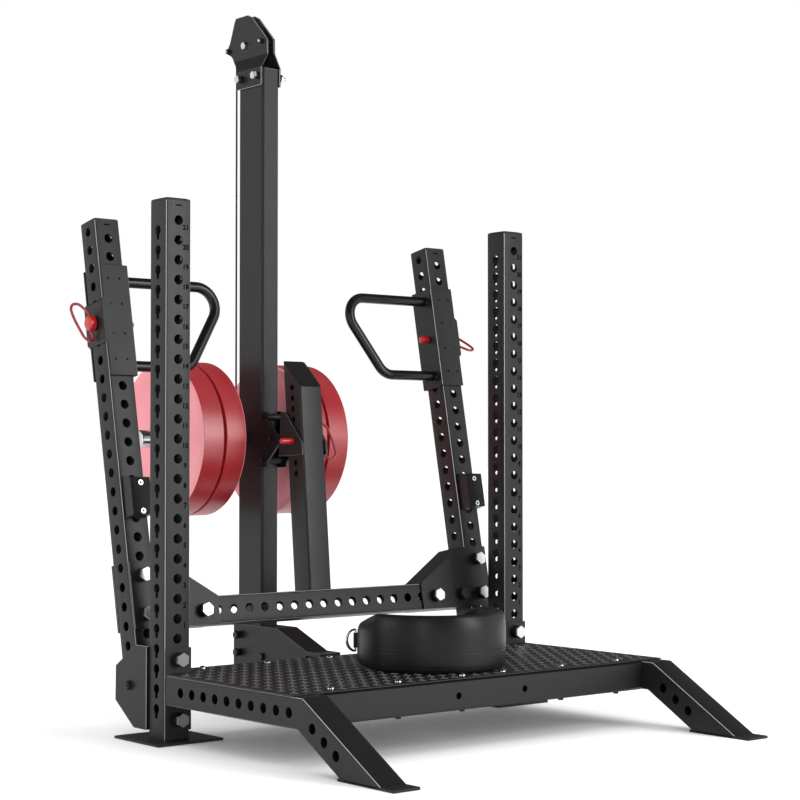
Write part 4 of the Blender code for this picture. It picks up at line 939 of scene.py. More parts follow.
# %% The deck's screws
BEAM_UNDERSIDE = 0.0952
domes = [((x, y, DECK_TOP), UP, 0) for x, y in SCREWS]
lenses("deck_screws", domes, "rack", "chrome", 0.0180, 0.0180, 0.0075, 16, 9)
screw_ends = [((x, y, BEAM_UNDERSIDE), (0, 0, -1), 0) for x, y in SCREWS if y == FRONT_SCREWS_Y]
studs("deck_screw_ends", screw_ends, "rack", "black_plastic", 6, 0.0075, 0.0085, 0.001)

# %% [markdown]
# ## Bolts
# The rack's joints are held by large bolts. Their bright hex heads stand off on black spacers, and
# they are among the few light spots on a dark machine, so their place and size matter.

# %% The large bolts
FRONT = (0, -1, 0)
GUSSET_FACE = -(TUBE / 2 + GAP + PLATE)
RAIL_FACE = -GAP - PLATE
SPACER = 0.0150


def both_sides(places, turn):
    """The same places on the left and the right, on faces that look outwards."""
    return [((s * x, y, z), (s, 0, 0), turn) for s in (-1, 1) for x, y, z in places]


leaning_spots = [((s * x, GUSSET_FACE, u), FRONT, 0.3)
                 for s in (-1, 1) for x, u in ((8 * PITCH, 0), (POST_X, 0), (POST_X, 2 * PITCH))]
dark_spots = [((s * 10 * PITCH, GUSSET_FACE, 0), FRONT, 0.1) for s in (-1, 1)]
left_spots, right_spots = ([((s * POST_X, RAIL_FACE, z), FRONT, 0.5) for z in (FIRST_HOLE, 0.20955)]
                           for s in (-1, 1))
# The left rail's heads are zinc like the others, coloured darker: a painted dark reflection.
for name, places, metal, slot, matrix in (
        ("gusset", leaning_spots, "zinc", "zinc", LEANING),
        ("left_rail", left_spots, "dark_steel", "zinc", MACHINE),
        ("right_rail", right_spots, "zinc", "zinc", MACHINE),
        ("inner", dark_spots, "black_plastic", "black_plastic", LEANING)):
    studs(name + "_bolt_spacers", places, "rack", "stop_rubber", 24, 0.0180, SPACER,
          0.0006, matrix=matrix)
    studs(name + "_bolt_heads", places, "rack", metal, 6, 0.0200, 0.0052, 0.0018, SPACER + 0.0006,
          matrix)
bracket_spots = both_sides([(HALF + GAP + PLATE, 0.1567, 0.1320)], 0.2)
for name, sides, radius, height, lift in (("washers", 32, 0.0140, 0.0020, 0.0),
                                          ("nuts", 6, 0.0115, 0.0070, 0.0020),
                                          ("rods", 20, 0.0058, 0.0022, 0.0090)):
    studs("bracket_" + name, bracket_spots, "rack", "black_plastic", sides, radius, height,
          0.0008, lift)
print("large bolts:", len(leaning_spots + dark_spots + left_spots + right_spots + bracket_spots))

# %% [markdown]
# The head is bolted through the mast from both sides, and its foot through the bracket. On the right
# the ends of the head's bolts stick out past their nuts. Small black bolts close the carriage, and the
# guard rods at the head pulley end in a nut with a bright thread.

# %% Smaller bolts on the mast, its head and the carriage
ROLLERS = (("upper_front_roller", 0.4021, 0.836), ("upper_rear_roller", 0.5439, 0.836),
           ("lower_front_roller", 0.4021, 0.712), ("lower_rear_roller", 0.5439, 0.712))
GUARD_RODS = (("front_guard_rod", (0.440, 1.941)), ("rear_guard_rod", (0.609, 1.936)))
HEAD_PLATE = 0.0053
HEAD_X, TOP_X = 0.0303 + HEAD_PLATE, 0.0093 + HEAD_PLATE
FOOT_X, CARRIAGE_X = 0.036, 0.0384
LUG = (0.3610, 0.7735)
head_spots = both_sides([(HEAD_X, y, 1.835) for y in (0.432, 0.513)], 0.2)
foot_spots = both_sides([(FOOT_X, 0.513, z) for z in (0.149, 0.200)], 0.1)
for name, places, metal in (("head", head_spots, "zinc"), ("foot", foot_spots, "black_plastic")):
    studs(name + "_bolt_spacers", places, "rack", "stop_rubber", 20, 0.0105, 0.010, 0.0005)
    studs(name + "_bolt_heads", places, "rack", metal, 6, 0.0125, 0.0065, 0.0018, 0.0104)
studs("head_rod_ends", head_spots[2:], "rack", "zinc", 20, 0.0060, 0.0100, 0.0010, 0.0185)
rod_spots = both_sides([(TOP_X, *place) for _, place in GUARD_RODS], 0.2)
studs("rod_nuts", rod_spots, "rack", "black_plastic", 6, 0.0085, 0.0070, 0.0008)
studs("rod_ends", rod_spots, "rack", "zinc", 16, 0.0045, 0.0030, 0.0008, 0.0078)
side_spots = both_sides([(CARRIAGE_X, y, z) for y, z in [place[1:] for place in ROLLERS] + [LUG]], 0.4)
studs("carriage_bolts", side_spots, "carriage", "black_plastic", 6, 0.0068, 0.0040, 0.0010)
print("smaller bolts:", len(head_spots + foot_spots + rod_spots + side_spots))

# %% [markdown]
# ## Pulleys
# A pulley is a turned wheel with a groove for the cable, a hub and a thinned web. A closed profile
# swept round the axle gives all of that in one go. The three pulleys differ only in size. The outer
# edge of the rim shows as bright metal, so the faces at the largest radius get a second finish.

# %% The pulleys
CABLE_R = 0.00275
TOP_PULLEY, BASE_PULLEY, DECK_PULLEY = (0.526, 1.941), (0.402, 0.1445), (-0.215, 0.1175)
PULLEY_R, DECK_PULLEY_R = 0.062, 0.035          # to the middle of the cable


def pulley(label, centre, cable_r, rim):
    """A wheel on its own body, with a groove that the cable lies in."""
    groove, half, bore = cable_r - CABLE_R, 0.0088, 0.0087
    profile = [(-half, bore), (-half, bore + 0.007), (-half + 0.003, bore + 0.009),
               (-half + 0.003, groove - 0.010), (-half, groove - 0.006), (-half, rim - 0.0008),
               (-half + 0.0008, rim), (-half + 0.0020, rim - 0.0006), (-0.0034, groove + 0.0015),
               (-0.0015, groove), (0.0015, groove), (0.0034, groove + 0.0015), (half - 0.0020, rim - 0.0006),
               (half - 0.0008, rim), (half, rim - 0.0008), (half, groove - 0.006),
               (half - 0.003, groove - 0.010), (half - 0.003, bore + 0.009), (half, bore + 0.007),
               (half, bore)]
    bm = bmesh.new()
    add_turned(bm, profile, "x", centre, 72, ring=True)
    mesh = to_mesh(bm, label, "pulley_nylon", "zinc")
    for face in mesh.polygons:
        if math.hypot(face.center.y - centre[0], face.center.z - centre[1]) > rim - 0.0014:
            face.material_index = 1
    piece(label + "_wheel", mesh, label, [label], smooth=35)
    print(label, "rim radius:", rim)


pulley("top_pulley", TOP_PULLEY, PULLEY_R, 0.0765)
pulley("base_pulley", BASE_PULLEY, PULLEY_R, 0.070)
pulley("deck_pulley", DECK_PULLEY, DECK_PULLEY_R, 0.041)

# %% [markdown]
# Each pulley turns on a bolt with a hexagon at both ends, which stops just outside the plates that
# carry it. A guard rod in front of the head pulley and one behind it keep a slack cable in its groove.

# %% The axles and guard rods
for label, centre, face in (("head_axle", TOP_PULLEY, 0.0146), ("base_pulley_axle", BASE_PULLEY, 0.0360),
                            ("deck_pulley_axle", DECK_PULLEY, 0.0300)):
    bm = bmesh.new()
    add_turned(bm, [(-face, 0.0078), (face, 0.0078)], "x", centre, 32)
    for s in (-1, 1):
        head = [(s * (face + 0.0003), 0.0098), (s * (face + 0.0003), 0.0118), (s * (face + 0.0066), 0.0118),
                (s * (face + 0.0081), 0.0098)]
        add_turned(bm, head, "x", centre, 6)
    metal = "black_plastic" if label == "base_pulley_axle" else "zinc"
    piece(label + "_bolt", to_mesh(bm, label, metal), "rack", [label], smooth=35)
for label, centre in GUARD_RODS:
    bm = bmesh.new()
    add_turned(bm, [(-0.009, 0.0052), (-0.0085, 0.006), (0.0085, 0.006), (0.009, 0.0052)], "x", centre, 24)
    piece(label + "_turned", to_mesh(bm, label, "zinc"), "rack", [label], smooth=35)

# %% [markdown]
# ## Handle trolleys
# A folded channel wraps three sides of the post and slides on it. A shorter folded plate closes the
# fourth side where the pull pin goes in, and two planes cut its outer corners off. Only the channel's
# two bends, on the side towards the middle, get the pale painted highlight: its free edges are thin
# and stay dark.

# %% The trolleys
PIN_U = PITCH / 2 + 15 * PITCH
SHELL_LOW, SHELL_HIGH, SHELL_DEPTH = 0.636, 0.941, 0.046
SLACK = 0.0015                                  # between the trolley and its post
SEAT_HALF, SEAT_CORNER, SEAT_IN = 0.063, 0.0105, 0.020
HANDLE_B, BAR_R, BEND_R = -0.008, 0.0146, 0.056
BAR_LOW, BAR_HIGH = 0.6710, 0.9045
GRIP_HIGH_X, GRIP_LOW_X = 0.1943, 0.3456


def fillet(before, corner, after, radius, steps):
    """Points of an arc that rounds a corner of a flat path."""
    before, corner, after = Vector(before), Vector(corner), Vector(after)
    to_a, to_b = (before - corner).normalized(), (after - corner).normalized()
    half = to_a.angle(to_b) / 2
    centre = corner + (to_a + to_b).normalized() * (radius / math.sin(half))
    start = corner + to_a * (radius / math.tan(half)) - centre
    end = corner + to_b * (radius / math.tan(half)) - centre
    side = start.cross(end).normalized().cross(start)
    swing = math.pi - 2 * half
    return [centre + start * math.cos(swing * i / steps) + side * math.sin(swing * i / steps)
            for i in range(steps + 1)]


for label, side in SIDES:
    inside, lip, depth = INNER - SLACK, HALF + SLACK, SHELL_DEPTH
    shell = [(HALF, -depth), (inside - PLATE, -depth), (inside - PLATE, depth), (HALF, depth),
             (HALF, depth - PLATE), (inside, depth - PLATE), (inside, -depth + PLATE), (HALF, -depth + PLATE)]
    root = HALF - SEAT_IN
    seat = [(root, -depth), (lip + PLATE, -depth), (lip + PLATE, depth), (root, depth),
            (root, depth - PLATE), (lip, depth - PLATE), (lip, -depth + PLATE), (root, -depth + PLATE)]
    bm = bmesh.new()
    add_plate(bm, [(side * x, b) for x, b in shell], SHELL_LOW, SHELL_HIGH, "z", 0.0014, segments=1)
    body_mesh = to_mesh(bm, "trolley", "powder_coat")
    for u in (0.680, 0.751, 0.832, 0.903):
        body_mesh = drill(body_mesh, "trolley", 2, (side * (HALF - 0.055), -depth, u), (side * 0.036, 0, 0),
                          FROM_FRONT, radius=0.0033, depth=0.008)
    body_mesh = drill(body_mesh, "trolley", 1, (side * INNER, 0, PIN_U), (1, 0, 0), FROM_SIDE, radius=0.0120,
                      depth=0.05)
    # Only the bends towards the middle get the pale painted highlight.
    burnish(body_mesh, -side)
    bm = bmesh.new()
    add_plate(bm, [(side * x, b * 1.002) for x, b in seat], PIN_U - SEAT_HALF, PIN_U + SEAT_HALF, "z", 0.0010)
    for way in (-1, 1):
        cut = bmesh.ops.bisect_plane(
            bm, geom=bm.verts[:] + bm.edges[:] + bm.faces[:],
            plane_co=(side * (lip + PLATE - SEAT_CORNER), 0, PIN_U + way * SEAT_HALF),
            plane_no=(side, 0, way), clear_outer=True)
        bmesh.ops.edgeloop_fill(bm, edges=[e for e in cut["geom_cut"] if isinstance(e, bmesh.types.BMEdge)])
    seat_mesh = to_mesh(bm, "seat", "powder_coat")
    made = piece(label + "_trolley_shell", joined("trolley", body_mesh, seat_mesh), label + "_trolley",
                 [label + "_trolley"], LEANING, smooth=15)
    print(made.name, len(made.data.polygons), "faces")

# %% [markdown]
# The D handle is one round bar, welded to the trolley's inner plate. It runs towards the middle of the
# machine, bends down into a sloping grip and comes back lower. Its path is drawn as four corners, and
# the two in the middle are replaced by true arcs. Small collars at the ends are the welds.

# %% The D handles
for label, side in SIDES:
    plate_x = INNER - SLACK - PLATE
    end_x = plate_x + PLATE / 2
    corners = [Vector((side * x, HANDLE_B, u)) for x, u in
               ((end_x, BAR_HIGH), (GRIP_HIGH_X, BAR_HIGH), (GRIP_LOW_X, BAR_LOW), (end_x, BAR_LOW))]
    high_arc, low_arc = fillet(*corners[:3], BEND_R, 18), fillet(*corners[1:], BEND_R, 12)
    bm = bmesh.new()
    add_bar(bm, [corners[0]] + high_arc + low_arc + [corners[3]], circle(BAR_R, 28), (0, 1, 0))
    for u in (BAR_HIGH, BAR_LOW):
        add_turned(bm, [(side * plate_x, 0.0165), (side * (plate_x - 0.0015), 0.0158),
                        (side * (plate_x - 0.0030), 0.0147)], "x", (HANDLE_B, u), 28)
    piece(label + "_d_handle", to_mesh(bm, "handle", "handle_gloss"), label + "_trolley",
          matrix=LEANING, smooth=40)

# %% [markdown]
# ## Pull pins
# A red knob ends each pin, and a wire bail through the knob gives the fingers a hold. The pin itself
# shows at the inner side of the post as a short red tip. Knob and pin are turned in one profile. The
# bail's points are distances out from the knob and along it, so one list serves for all three pins.

# %% The pins and their bails
BAIL = ((0.000, 0.0195), (0.000, 0.0250), (0.005, 0.0300), (0.017, 0.0400), (0.029, 0.0490),
        (0.040, 0.0510), (0.050, 0.0475), (0.0550, 0.0380), (0.0540, 0.0260), (0.0455, 0.0030),
        (0.0325, -0.0230), (0.0230, -0.0395), (0.0100, -0.0490), (0.0000, -0.0490), (-0.0050, -0.0420),
        (-0.0040, -0.0330), (0.000, -0.0260), (0.000, -0.0195))
BAIL_WIRE_R = 0.0037
RIGHT_BAIL_TURN = math.radians(136)
CATCH_PIN = (0.241541, 0.765718)


def pull_pin(label, side, centre, near, far, radius, tip, matrix):
    """A pin with a knob from near to far, whose tip is on the other side of the post."""
    knob_r = 0.020
    profile = [(far, knob_r * 0.62), (far - 0.0012, knob_r * 0.86), (far - 0.0032, knob_r),
               (near + 0.0022, knob_r), (near, knob_r * 0.88), (near, radius), (tip + 0.0085, radius),
               (tip + 0.0040, radius * 0.93), (tip + 0.0012, radius * 0.74), (tip, radius * 0.50)]
    bm = bmesh.new()
    add_turned(bm, [(side * t, r) for t, r in profile], "x", centre, 40)
    piece(label + "_turned", to_mesh(bm, label, "red_coat"), label, [label], matrix, smooth=35)


def bail(label, hub, outward, upward, matrix, narrow=-1.0):
    """A bent wire on a knob. No point of it comes closer to the plate than narrow."""
    path = [Vector(hub) + Vector(outward) * max(out, narrow) + Vector(upward) * up for out, up in BAIL]
    bm = bmesh.new()
    add_bar(bm, smooth_path(path, 5), circle(BAIL_WIRE_R, 14), Vector(outward).cross(Vector(upward)))
    piece(label + "_wire", to_mesh(bm, label, "red_wire"), label, [label], matrix, smooth=60)
    print(label, "wire through", len(BAIL), "points")


for label, side in SIDES:
    outside = HALF + SLACK + PLATE + 0.0015
    pull_pin(label + "_trolley_pin", side, (0, PIN_U), outside, outside + 0.020, 0.0108,
             INNER - SLACK - PLATE - 0.028, LEANING)
    turn = RIGHT_BAIL_TURN if side > 0 else 0.0
    bail(label + "_trolley_bail", (side * (outside + 0.010), 0, PIN_U), (side, 0, 0),
         (0, -math.sin(turn), math.cos(turn)), LEANING)
pull_pin("catch_pin", 1, CATCH_PIN, 0.0465, 0.0605, 0.0078, -0.0885, MACHINE)
bail("catch_bail", (0.0535, *CATCH_PIN), (1, 0, 0), (0, 0, -1), MACHINE, -0.0025)

# %% [markdown]
# ## Stop blocks
# A bumper on each post catches the trolley: a steel block with a black rubber face. Its top is level
# although the post leans. Two bright countersunk screws with a hexagon socket hold it from the front.

# %% The stop blocks
STOP_X = (0.5560, 0.6155)
STOP_DEPTH = 0.042
STOP_LOW, STOP_HIGH = 0.2527, 0.3632
STOP_FACE = -TUBE / 2 - GAP
for label, side in SIDES:
    outline = [(STOP_FACE, STOP_LOW), (STOP_FACE, STOP_HIGH),
               (STOP_FACE - STOP_DEPTH, STOP_HIGH - STOP_DEPTH * math.tan(LEAN)),
               (STOP_FACE - STOP_DEPTH, STOP_LOW + 0.0033)]
    bm = bmesh.new()
    add_plate(bm, outline, *spread(side, *STOP_X), "x", 0.0008)
    mesh = to_mesh(bm, "stop", "powder_coat", "stop_rubber")
    for face in mesh.polygons:
        face.material_index = 1 if face.normal.y < -0.9 else 0
    piece(label + "_stop_rubber", mesh, "rack", [label + "_stop_block"], LEANING, smooth=40)
stop_spots = [((s * (POST_X + 0.0010), STOP_FACE - STOP_DEPTH, u), FRONT, 0)
              for s in (-1, 1) for u in (0.2655, 0.3405)]
studs("stop_screw_rings", stop_spots, "rack", "zinc", 28, 0.0074, 0.0004, 0.0004, 0.0, LEANING)
# Thin dark hexagons in the screws: painted shade for the socket recess.
studs("stop_screw_sockets", stop_spots, "rack", "number_ink", 6, 0.0036, 0.0002, 0.0001,
      0.0009, LEANING)
print("stop screws:", len(stop_spots))

# %% [markdown]
# ## Catch post
# A short square post stands on the cross-member with a slanting closed top. It is drawn like the
# other tubes, with a lid, and it is drilled from the side for the catch pin.

# %% The catch post
TOP_FRONT, TOP_BACK = 0.5773, 0.6590
RISE = (TOP_BACK - TOP_FRONT) / TUBE
SLANT = math.tan(LEAN - CATCH_LEAN)
CATCH_PITCH, CATCH_HOLE_R, CATCH_TOP_HOLE = 0.03057, 0.0082, 0.5778


def slanted(a, b, under=0.0):
    """A point of the slanting top, or a little under it."""
    return Vector((a, b, TOP_FRONT + (b + TUBE / 2) * RISE - under))


bm = bmesh.new()
add_tube(bm, [lambda a, b: Vector((a, b, -b * SLANT)), lambda a, b: slanted(a, b, 0.004)])
short_post = drill(to_mesh(bm, "catch", "powder_coat"), "catch", 9, (0, 0, CATCH_TOP_HOLE - 8 * CATCH_PITCH),
                   (0, 0, CATCH_PITCH), FROM_SIDE, radius=CATCH_HOLE_R)
bm = bmesh.new()
ends = skin(bm, [[slanted(a, b, 0.004) for a, b in rounded(TUBE, TUBE, CORNER)],
                 [slanted(a, b, 0.001) for a, b in rounded(TUBE, TUBE, CORNER)],
                 [slanted(a, b) for a, b in rounded(TUBE - 0.002, TUBE - 0.002, 0.0055)]])
bm.faces.new(ends[0])
bm.faces.new(ends[-1])
lid = to_mesh(bm, "lid", "powder_coat")
made = piece("catch_post_tube", joined("catch", short_post, lid), "rack", ["catch_post"],
             CATCH, smooth=15)
print(made.name, len(made.data.polygons), "faces")

# %% [markdown]
# ## Rollers and horn
# Rollers turn between the carriage's cheeks, before and behind the mast. The horn is one polished bar
# with a collar on each side for the plates to stop against. Half of its profile is written down, and
# the other half is the same turned round.

# %% The rollers and the horn bar
HORN = (0.597, 0.7734)
half_roller = [(0.038, 0.0034), (0.0314, 0.0034), (0.0314, 0.0092), (0.0306, 0.0100)]
half_bar = [(0.3333, 0.0200), (0.3325, 0.0222), (0.3310, 0.0238), (0.3290, 0.0250), (0.1102, 0.0250),
            (0.1102, 0.0330), (0.1094, 0.0340), (0.0968, 0.0340), (0.0960, 0.0330), (0.0960, 0.0250)]


def two_ended(half):
    """A profile along X from the one half that ends it."""
    return [(-t, r) for t, r in half] + [(t, r) for t, r in reversed(half)]


for label, y, z in ROLLERS:
    bm = bmesh.new()
    add_turned(bm, two_ended(half_roller), "x", (y, z), 32)
    piece(label + "_turned", to_mesh(bm, label, "black_plastic"), label, [label], smooth=35)

bm = bmesh.new()
add_turned(bm, two_ended(half_bar), "x", HORN, 64)
piece("horn_bar_turned", to_mesh(bm, "horn", "chrome"), "carriage", ["horn_bar"], smooth=35)
print("horn bar:", 2 * half_bar[0][0], "m long")

# %% [markdown]
# ## Weight plates
# The plates are rubber bumpers, thick and rounded at the rim, with a shallow dish and a steel bushing
# round the bar. Two of them meet in a groove, so each lacks a little of its thickness near the rim on
# that side. The groove's walls have a point close to each corner: smooth shading bends the light only
# between points that lie close together, and the rest of the wall stays flat.

# %% The weight plates
START, THICK = 0.1105, 0.0728
RIM_R = 0.2250
GROOVE, GROOVE_R = 0.0038, 0.2090
for label, side in SIDES:
    for place, i in (("inner", 0), ("outer", 1)):
        near = START + i * (THICK + GAP)
        far = near + THICK - (0 if i else GAP)
        rubber = [(near, 0.034), (near, 0.150), (near + 0.003, 0.156), (near + 0.003, 0.196), (near, 0.202)]
        if i:
            rubber += [(near, GROOVE_R - 0.001), (near + GROOVE, GROOVE_R), (near + GROOVE, 0.2220),
                       (near + GROOVE + 0.0008, 0.2242), (near + GROOVE + 0.0024, RIM_R),
                       (near + GROOVE + 0.0034, RIM_R), (far - 0.0042, RIM_R), (far - 0.0030, RIM_R),
                       (far - 0.0008, 0.2242), (far, 0.2222)]
        else:
            rubber += [(near, 0.2180), (near + 0.0014, 0.2228), (near + 0.0050, RIM_R),
                       (near + 0.0060, RIM_R), (far - GROOVE - 0.0034, RIM_R),
                       (far - GROOVE - 0.0024, RIM_R), (far - GROOVE - 0.0008, 0.2242),
                       (far - GROOVE, 0.2220), (far - GROOVE, GROOVE_R)]
        face_side = [(far, GROOVE_R - 0.001), (far - 0.0004, 0.1960), (far - 0.0045, 0.1885),
                     (far - 0.0060, 0.1840), (far - 0.0060, 0.0820), (far - 0.0040, 0.0770), (far, 0.0740),
                     (far, 0.034)]
        bm = bmesh.new()
        add_turned(bm, [(side * t, r) for t, r in rubber + face_side], "x", HORN, 128, ring=True)
        # The flat faces take the pale pinks, a painted sheen; the rim and groove keep the plain red rubber.
        mesh = to_mesh(bm, "rubber", "red_rubber", "red_rubber_face" if i else "red_rubber_back")
        for face in mesh.polygons:
            outer_half = face.center.x * side > near + THICK / 2
            if abs(face.normal.x) > 0.5 and outer_half == bool(i):
                face.material_index = 1
        piece("%s_%s_bumper" % (label, place), mesh, label + "_weights",
              ["%s_%s_weight" % (label, place)], smooth=35)
        bm = bmesh.new()
        bush = [(near + 0.0005, 0.0262), (near + 0.0005, 0.0338), (far - 0.0005, 0.0338),
                (far + 0.0002, 0.0325), (far + 0.0002, 0.0270), (far - 0.0005, 0.0262)]
        add_turned(bm, [(side * t, r) for t, r in bush], "x", HORN, 64, ring=True)
        piece("%s_%s_bush" % (label, place), to_mesh(bm, "bush", "zinc"), label + "_weights",
              smooth=35)
print("plates: radius", RIM_R, "thickness", THICK)

# %% [markdown]
# ## Cable
# A coated steel cable starts on the carriage, goes over the head pulley, down inside the mast, under
# the base pulley and forward under the deck, and rises through the slot. The parts on the pulleys
# keep their shape. The run behind the mast and the one at the deck get shorter and longer. Each of
# those is a straight tube of many rings that reaches from the rack to a moving body.

# %% The cable
def arc(centre, radius, start, end, steps):
    """Points of an arc in the YZ plane, in degrees from +Y towards +Z."""
    angles = [math.radians(start + (end - start) * i / steps) for i in range(steps + 1)]
    return [Vector((0, centre[0] + radius * math.cos(t), centre[1] + radius * math.sin(t))) for t in angles]


LIFT_Y = DECK_PULLEY[0] - DECK_PULLEY_R
REAR_RUN_Y = TOP_PULLEY[0] + PULLEY_R
route = arc(TOP_PULLEY, PULLEY_R, 0, 180, 40) + arc(BASE_PULLEY, PULLEY_R, 0, -90, 24)
route += arc(DECK_PULLEY, DECK_PULLEY_R, 270, 180, 20)
print("cable that keeps its shape:", round(sum((b - a).length for a, b in zip(route, route[1:])), 3), "m")
bm = bmesh.new()
add_bar(bm, route, circle(CABLE_R, 12), (1, 0, 0))
piece("cable_fixed_run", to_mesh(bm, "cable", "cable_jacket"), "rack", ["cable"], smooth=60)


def moving_run(name, node_name, y, fixed_z, moving_z):
    """An upright run of cable with one end on the rack and the other on a moving body."""
    rings = [fixed_z + (moving_z - fixed_z) * i / 60 for i in range(61)]
    bm = bmesh.new()
    add_turned(bm, [(z, CABLE_R) for z in rings], "z", (0, y), 12)
    mesh = to_mesh(bm, name, "cable_jacket")
    mesh.transform(MACHINE)
    mesh.shade_smooth()
    made = bpy.data.objects.new(name, mesh)
    bpy.context.collection.objects.link(made)
    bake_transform(made)
    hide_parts(node_name)


moving_run("cable_mast_run", "cable_rear_run", REAR_RUN_Y, 1.9407, 0.7990)
moving_run("cable_deck_run", "cable_lift", LIFT_Y, 0.1178, 0.1752)

# %% [markdown]
# A rubber ball at the end of the cable is too big for the slot in the deck, so it stops the cable
# there. A small eye stands on it. The carabiner is a long ring through that eye, with a sleeve on its
# gate, and both rise with the belt.

# %% The rubber stop and the carabiner
STOP_Z = 0.17555
bm = bmesh.new()
ball = [(0.0, 0.008), (0.0012, 0.0125), (0.005, 0.0160), (0.011, 0.0170), (0.017, 0.0160), (0.022, 0.0125),
        (0.0255, 0.008), (0.030, 0.0050)]
add_turned(bm, [(STOP_Z + t, r) for t, r in ball], "z", (0, LIFT_Y), 32)
EYE_Z = STOP_Z + 0.036
eye = [Vector((x, LIFT_Y, z)) for x, z in circle(0.0097, 32, (0, EYE_Z))]
add_bar(bm, eye, circle(0.0031, 12), (0, 1, 0), cyclic=True)
piece("cable_stop_ball", to_mesh(bm, "stop", "black_plastic"), "belt", ["cable_stop"],
      smooth=60)
LINK_LOW, LINK_HIGH = EYE_Z + 0.018, EYE_Z + 0.068
path = []
for y, z, start in ((-0.006, LINK_LOW, 180), (0.006, LINK_LOW, 270), (0.006, LINK_HIGH, 0),
                    (-0.006, LINK_HIGH, 90)):
    path += arc((LIFT_Y + y, z), 0.018, start, start + 90, 8)
bm = bmesh.new()
add_bar(bm, path, circle(0.0045, 16), (1, 0, 0), cyclic=True)
sleeve = [(EYE_Z + 0.022, 0.0046), (EYE_Z + 0.023, 0.0064), (EYE_Z + 0.048, 0.0064), (EYE_Z + 0.049, 0.0046)]
add_turned(bm, sleeve, "z", (0, LIFT_Y + 0.024), 24)
piece("carabiner_ring", to_mesh(bm, "carabiner", "zinc"), "belt", ["carabiner"], smooth=50)
print("carabiner:", round(LINK_HIGH - LINK_LOW + 0.036, 4), "m long")

# %% [markdown]
# ## Belt
# The belt is a thick padded strap that stands on its edge, bent into a C. Leather is wrapped over
# foam, so its outer face is crowned, its edges are full and round, and it narrows towards both ends.
# Three shallow seams run along it. The section is a superellipse that is swept round the arc, with
# the seams pressed in as narrow grooves. Its points lie at evenly spaced heights across the outer face.

# %% The padded strap
BELT_CENTRE = (0.0086, -0.299)
BELT_R = 0.184
BELT_HALF = 0.0735
BELT_THICK = 0.018
BELT_FROM, BELT_TO = math.radians(-229.6), math.radians(20.4)
BELT_Z = 0.17525 + BELT_HALF
OUTER_SHARE, INNER_SHARE = 0.54, 0.42           # of the thickness, outside and inside the arc
ACROSS_POWER, UP_POWER = 0.55, 0.42             # below one, a circle turns squarer
SEAMS = (0.84, -0.30, -0.82)


def belt_edges(share):
    """Heights of the strap's lower and upper edges at a share of its length."""
    left = math.sin(math.pi / 2 * max(0.0, 1 - share * 5))
    right = 0.30 * (1 - math.sin(math.pi / 2 * min(1.0, (1 - share) * 11)))
    low = BELT_Z - BELT_HALF + 0.012 * left + BELT_HALF * right
    high = BELT_Z + BELT_HALF - 0.034 * left - BELT_HALF * right
    return low, high


def seam_height(share, up):
    """The height of a line along the strap, where up runs from -1 to 1."""
    low, high = belt_edges(share)
    return low + (high - low) * (1 + up) / 2


def belt_point(share, turn):
    """A point of the strap's skin. turn goes round the section from the middle of the outer face."""
    c, s = math.cos(turn), math.sin(turn)
    across = math.copysign(abs(c) ** ACROSS_POWER, c)
    up = math.copysign(abs(s) ** UP_POWER, s)
    end = min(share, 1 - share) * 100
    full = 1.0 if end > 1.2 else math.sqrt(max(0.0, 1 - (1 - end / 1.2) ** 2)) * 0.9 + 0.1
    radial = (OUTER_SHARE if across > 0 else INNER_SHARE) * across * BELT_THICK * full
    if across > 0:
        radial += 0.0012 * (1 - up * up)
        radial -= 0.0003 * sum(math.exp(-((up - at) / 0.014) ** 2) for at in SEAMS)
    radial -= 0.005 * max(0.0, up) ** 4
    angle = BELT_FROM + (BELT_TO - BELT_FROM) * share
    r = BELT_R + radial
    return Vector((BELT_CENTRE[0] + r * math.cos(angle), BELT_CENTRE[1] + r * math.sin(angle),
                   seam_height(share, up * (0.93 + 0.07 * full))))


def face_turns(high, low, steps):
    """Turns on the outer face whose heights on the section are evenly spaced."""
    heights = [high + (low - high) * i / steps for i in range(steps + 1)]
    return [math.copysign(math.asin(abs(h) ** (1 / UP_POWER)), h) for h in heights]


STATIONS = 200
FACE_SHARE = 0.92
outer_turns = face_turns(-FACE_SHARE, FACE_SHARE, 92)
round_edge = [outer_turns[-1] + (math.pi - 2 * outer_turns[-1]) * i / 12 for i in range(1, 12)]
inner_turns = [math.pi - t for t in face_turns(FACE_SHARE, -FACE_SHARE, 14)]
turns = outer_turns + round_edge + inner_turns + [-t for t in reversed(round_edge)]
end_shares = [0.0, 0.0008, 0.0025, 0.0055, 0.009]
shares = end_shares + [0.012 + (1 - 0.024) * i / STATIONS for i in range(STATIONS + 1)]
shares += [1 - s for s in reversed(end_shares)]
bm = bmesh.new()
ends = skin(bm, [[belt_point(s, t) for t in turns] for s in shares])
bm.faces.new(ends[0])
bm.faces.new(ends[-1])
strap = piece("belt_pad", to_mesh(bm, "belt", "leather"), "belt", ["belt"], smooth=50)
print("belt faces:", len(strap.data.polygons))

# %% [markdown]
# The lowest seam shows its thread. Each stitch is a small lens in the groove, and the lens tree lays
# them at an even spacing along the arc.

# %% The stitches
STITCH_R = BELT_R + OUTER_SHARE * BELT_THICK * 0.95 + 0.0008
STITCH_STEPS, STITCH_MARGIN = 150, 6
stitches = []
for i in range(STITCH_MARGIN, STITCH_STEPS - STITCH_MARGIN + 1):
    share = i / STITCH_STEPS
    angle = BELT_FROM + (BELT_TO - BELT_FROM) * share
    outward = Vector((math.cos(angle), math.sin(angle), 0))
    spot = Vector((*BELT_CENTRE, seam_height(share, SEAMS[2]))) + outward * STITCH_R
    stitches.append((spot, outward, 0.0))
lenses("belt_stitches", stitches, "belt", "webbing", 0.0010, 0.0036, 0.0005, 8, 4)

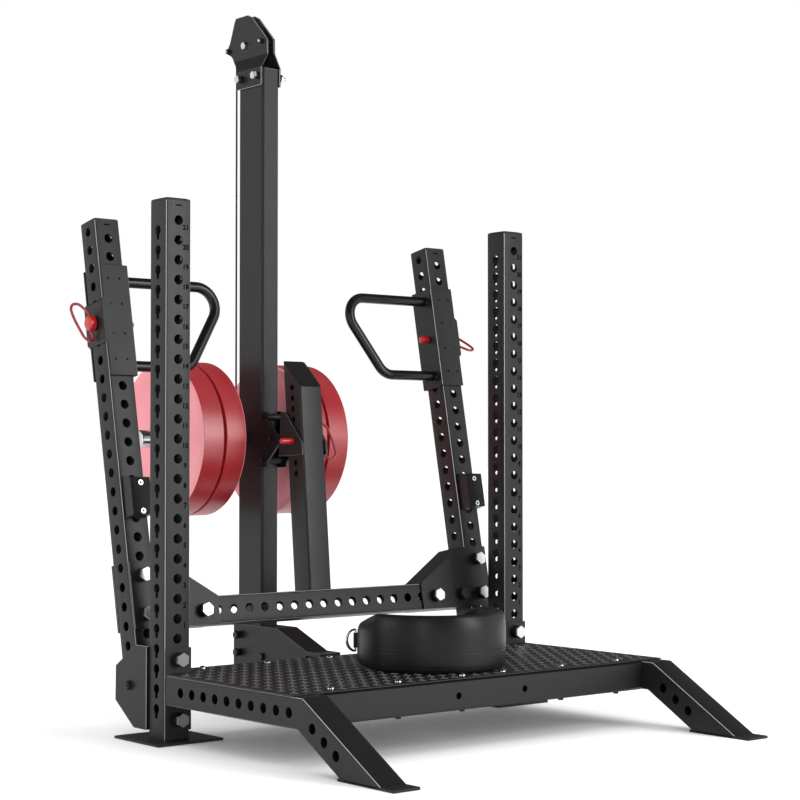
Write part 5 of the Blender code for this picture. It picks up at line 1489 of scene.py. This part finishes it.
# %% [markdown]
# A webbing tab is sewn to each end of the strap, and two polished D rings hang in its fold. The
# rings are round wire along a D: one straight side in the tab and a half round outside it.

# %% The tabs and D rings
RING_WIRE_R = 0.0029
TAB_THICK, TAB_HEIGHT = 0.0026, 0.052


def ring_set(name, angle_deg, mid_z, radius, out=0.009, tilt=0.45):
    """A tab on the strap's outer face with two D rings, at an angle round the belt."""
    angle = math.radians(angle_deg)
    outward = Vector((math.cos(angle), math.sin(angle), 0))
    along = Vector((-math.sin(angle), math.cos(angle), 0))
    foot = Vector((*BELT_CENTRE, mid_z)) + outward * (BELT_R + out)
    bm = bmesh.new()
    loop = [foot + along * a + outward * o for a, o in
            ((-0.004, -0.004), (-0.003, 0.006), (0.0, 0.010), (0.003, 0.006), (0.004, -0.004))]
    width = [(a, b * 0.75) for a, b in rounded(TAB_THICK, TAB_HEIGHT, 0.0012, 3)]
    add_bar(bm, smooth_path(loop, 5), width, UP)
    piece(name + "_tab", to_mesh(bm, "tab", "webbing"), "belt", smooth=40)
    bm = bmesh.new()
    for k, lean_out in ((-1, tilt), (1, tilt * 0.6)):
        reach = outward * math.cos(lean_out) + along * math.sin(lean_out) * k
        centre = foot + outward * 0.006
        round_half = [math.pi * (i / 40 - 0.5) for i in range(41)]
        path = [centre + Vector((0, 0, radius * math.sin(t)))
                + reach * (radius * 0.86 * max(0.0, math.cos(t))) for t in round_half]
        path += [centre + Vector((0, 0, radius * (1 - i / 5))) for i in range(1, 10)]
        add_bar(bm, path, circle(RING_WIRE_R, 12), reach.cross(Vector(UP)), cyclic=True)
    piece(name + "_rings", to_mesh(bm, "rings", "chrome"), "belt", smooth=60)
    print(name, "ring radius:", radius)


ring_set("left_belt", 140, BELT_Z - 0.006, 0.028)
ring_set("right_belt", 13, BELT_Z + 0.010, 0.026)

# %% [markdown]
# ## Finish what is left
# Any imported node that is still shown gets the finish its record names.

# %% Finish the remaining nodes
SLOTS = {row["node"]: row["material_slot"] for row in frame["record"]["subparts"]}
for label, packed in frame["nodes"].items():
    if not packed.hide_render:
        packed.material_slots[0].material = FINISHES[SLOTS[label]]
        print("shown as packed:", label)
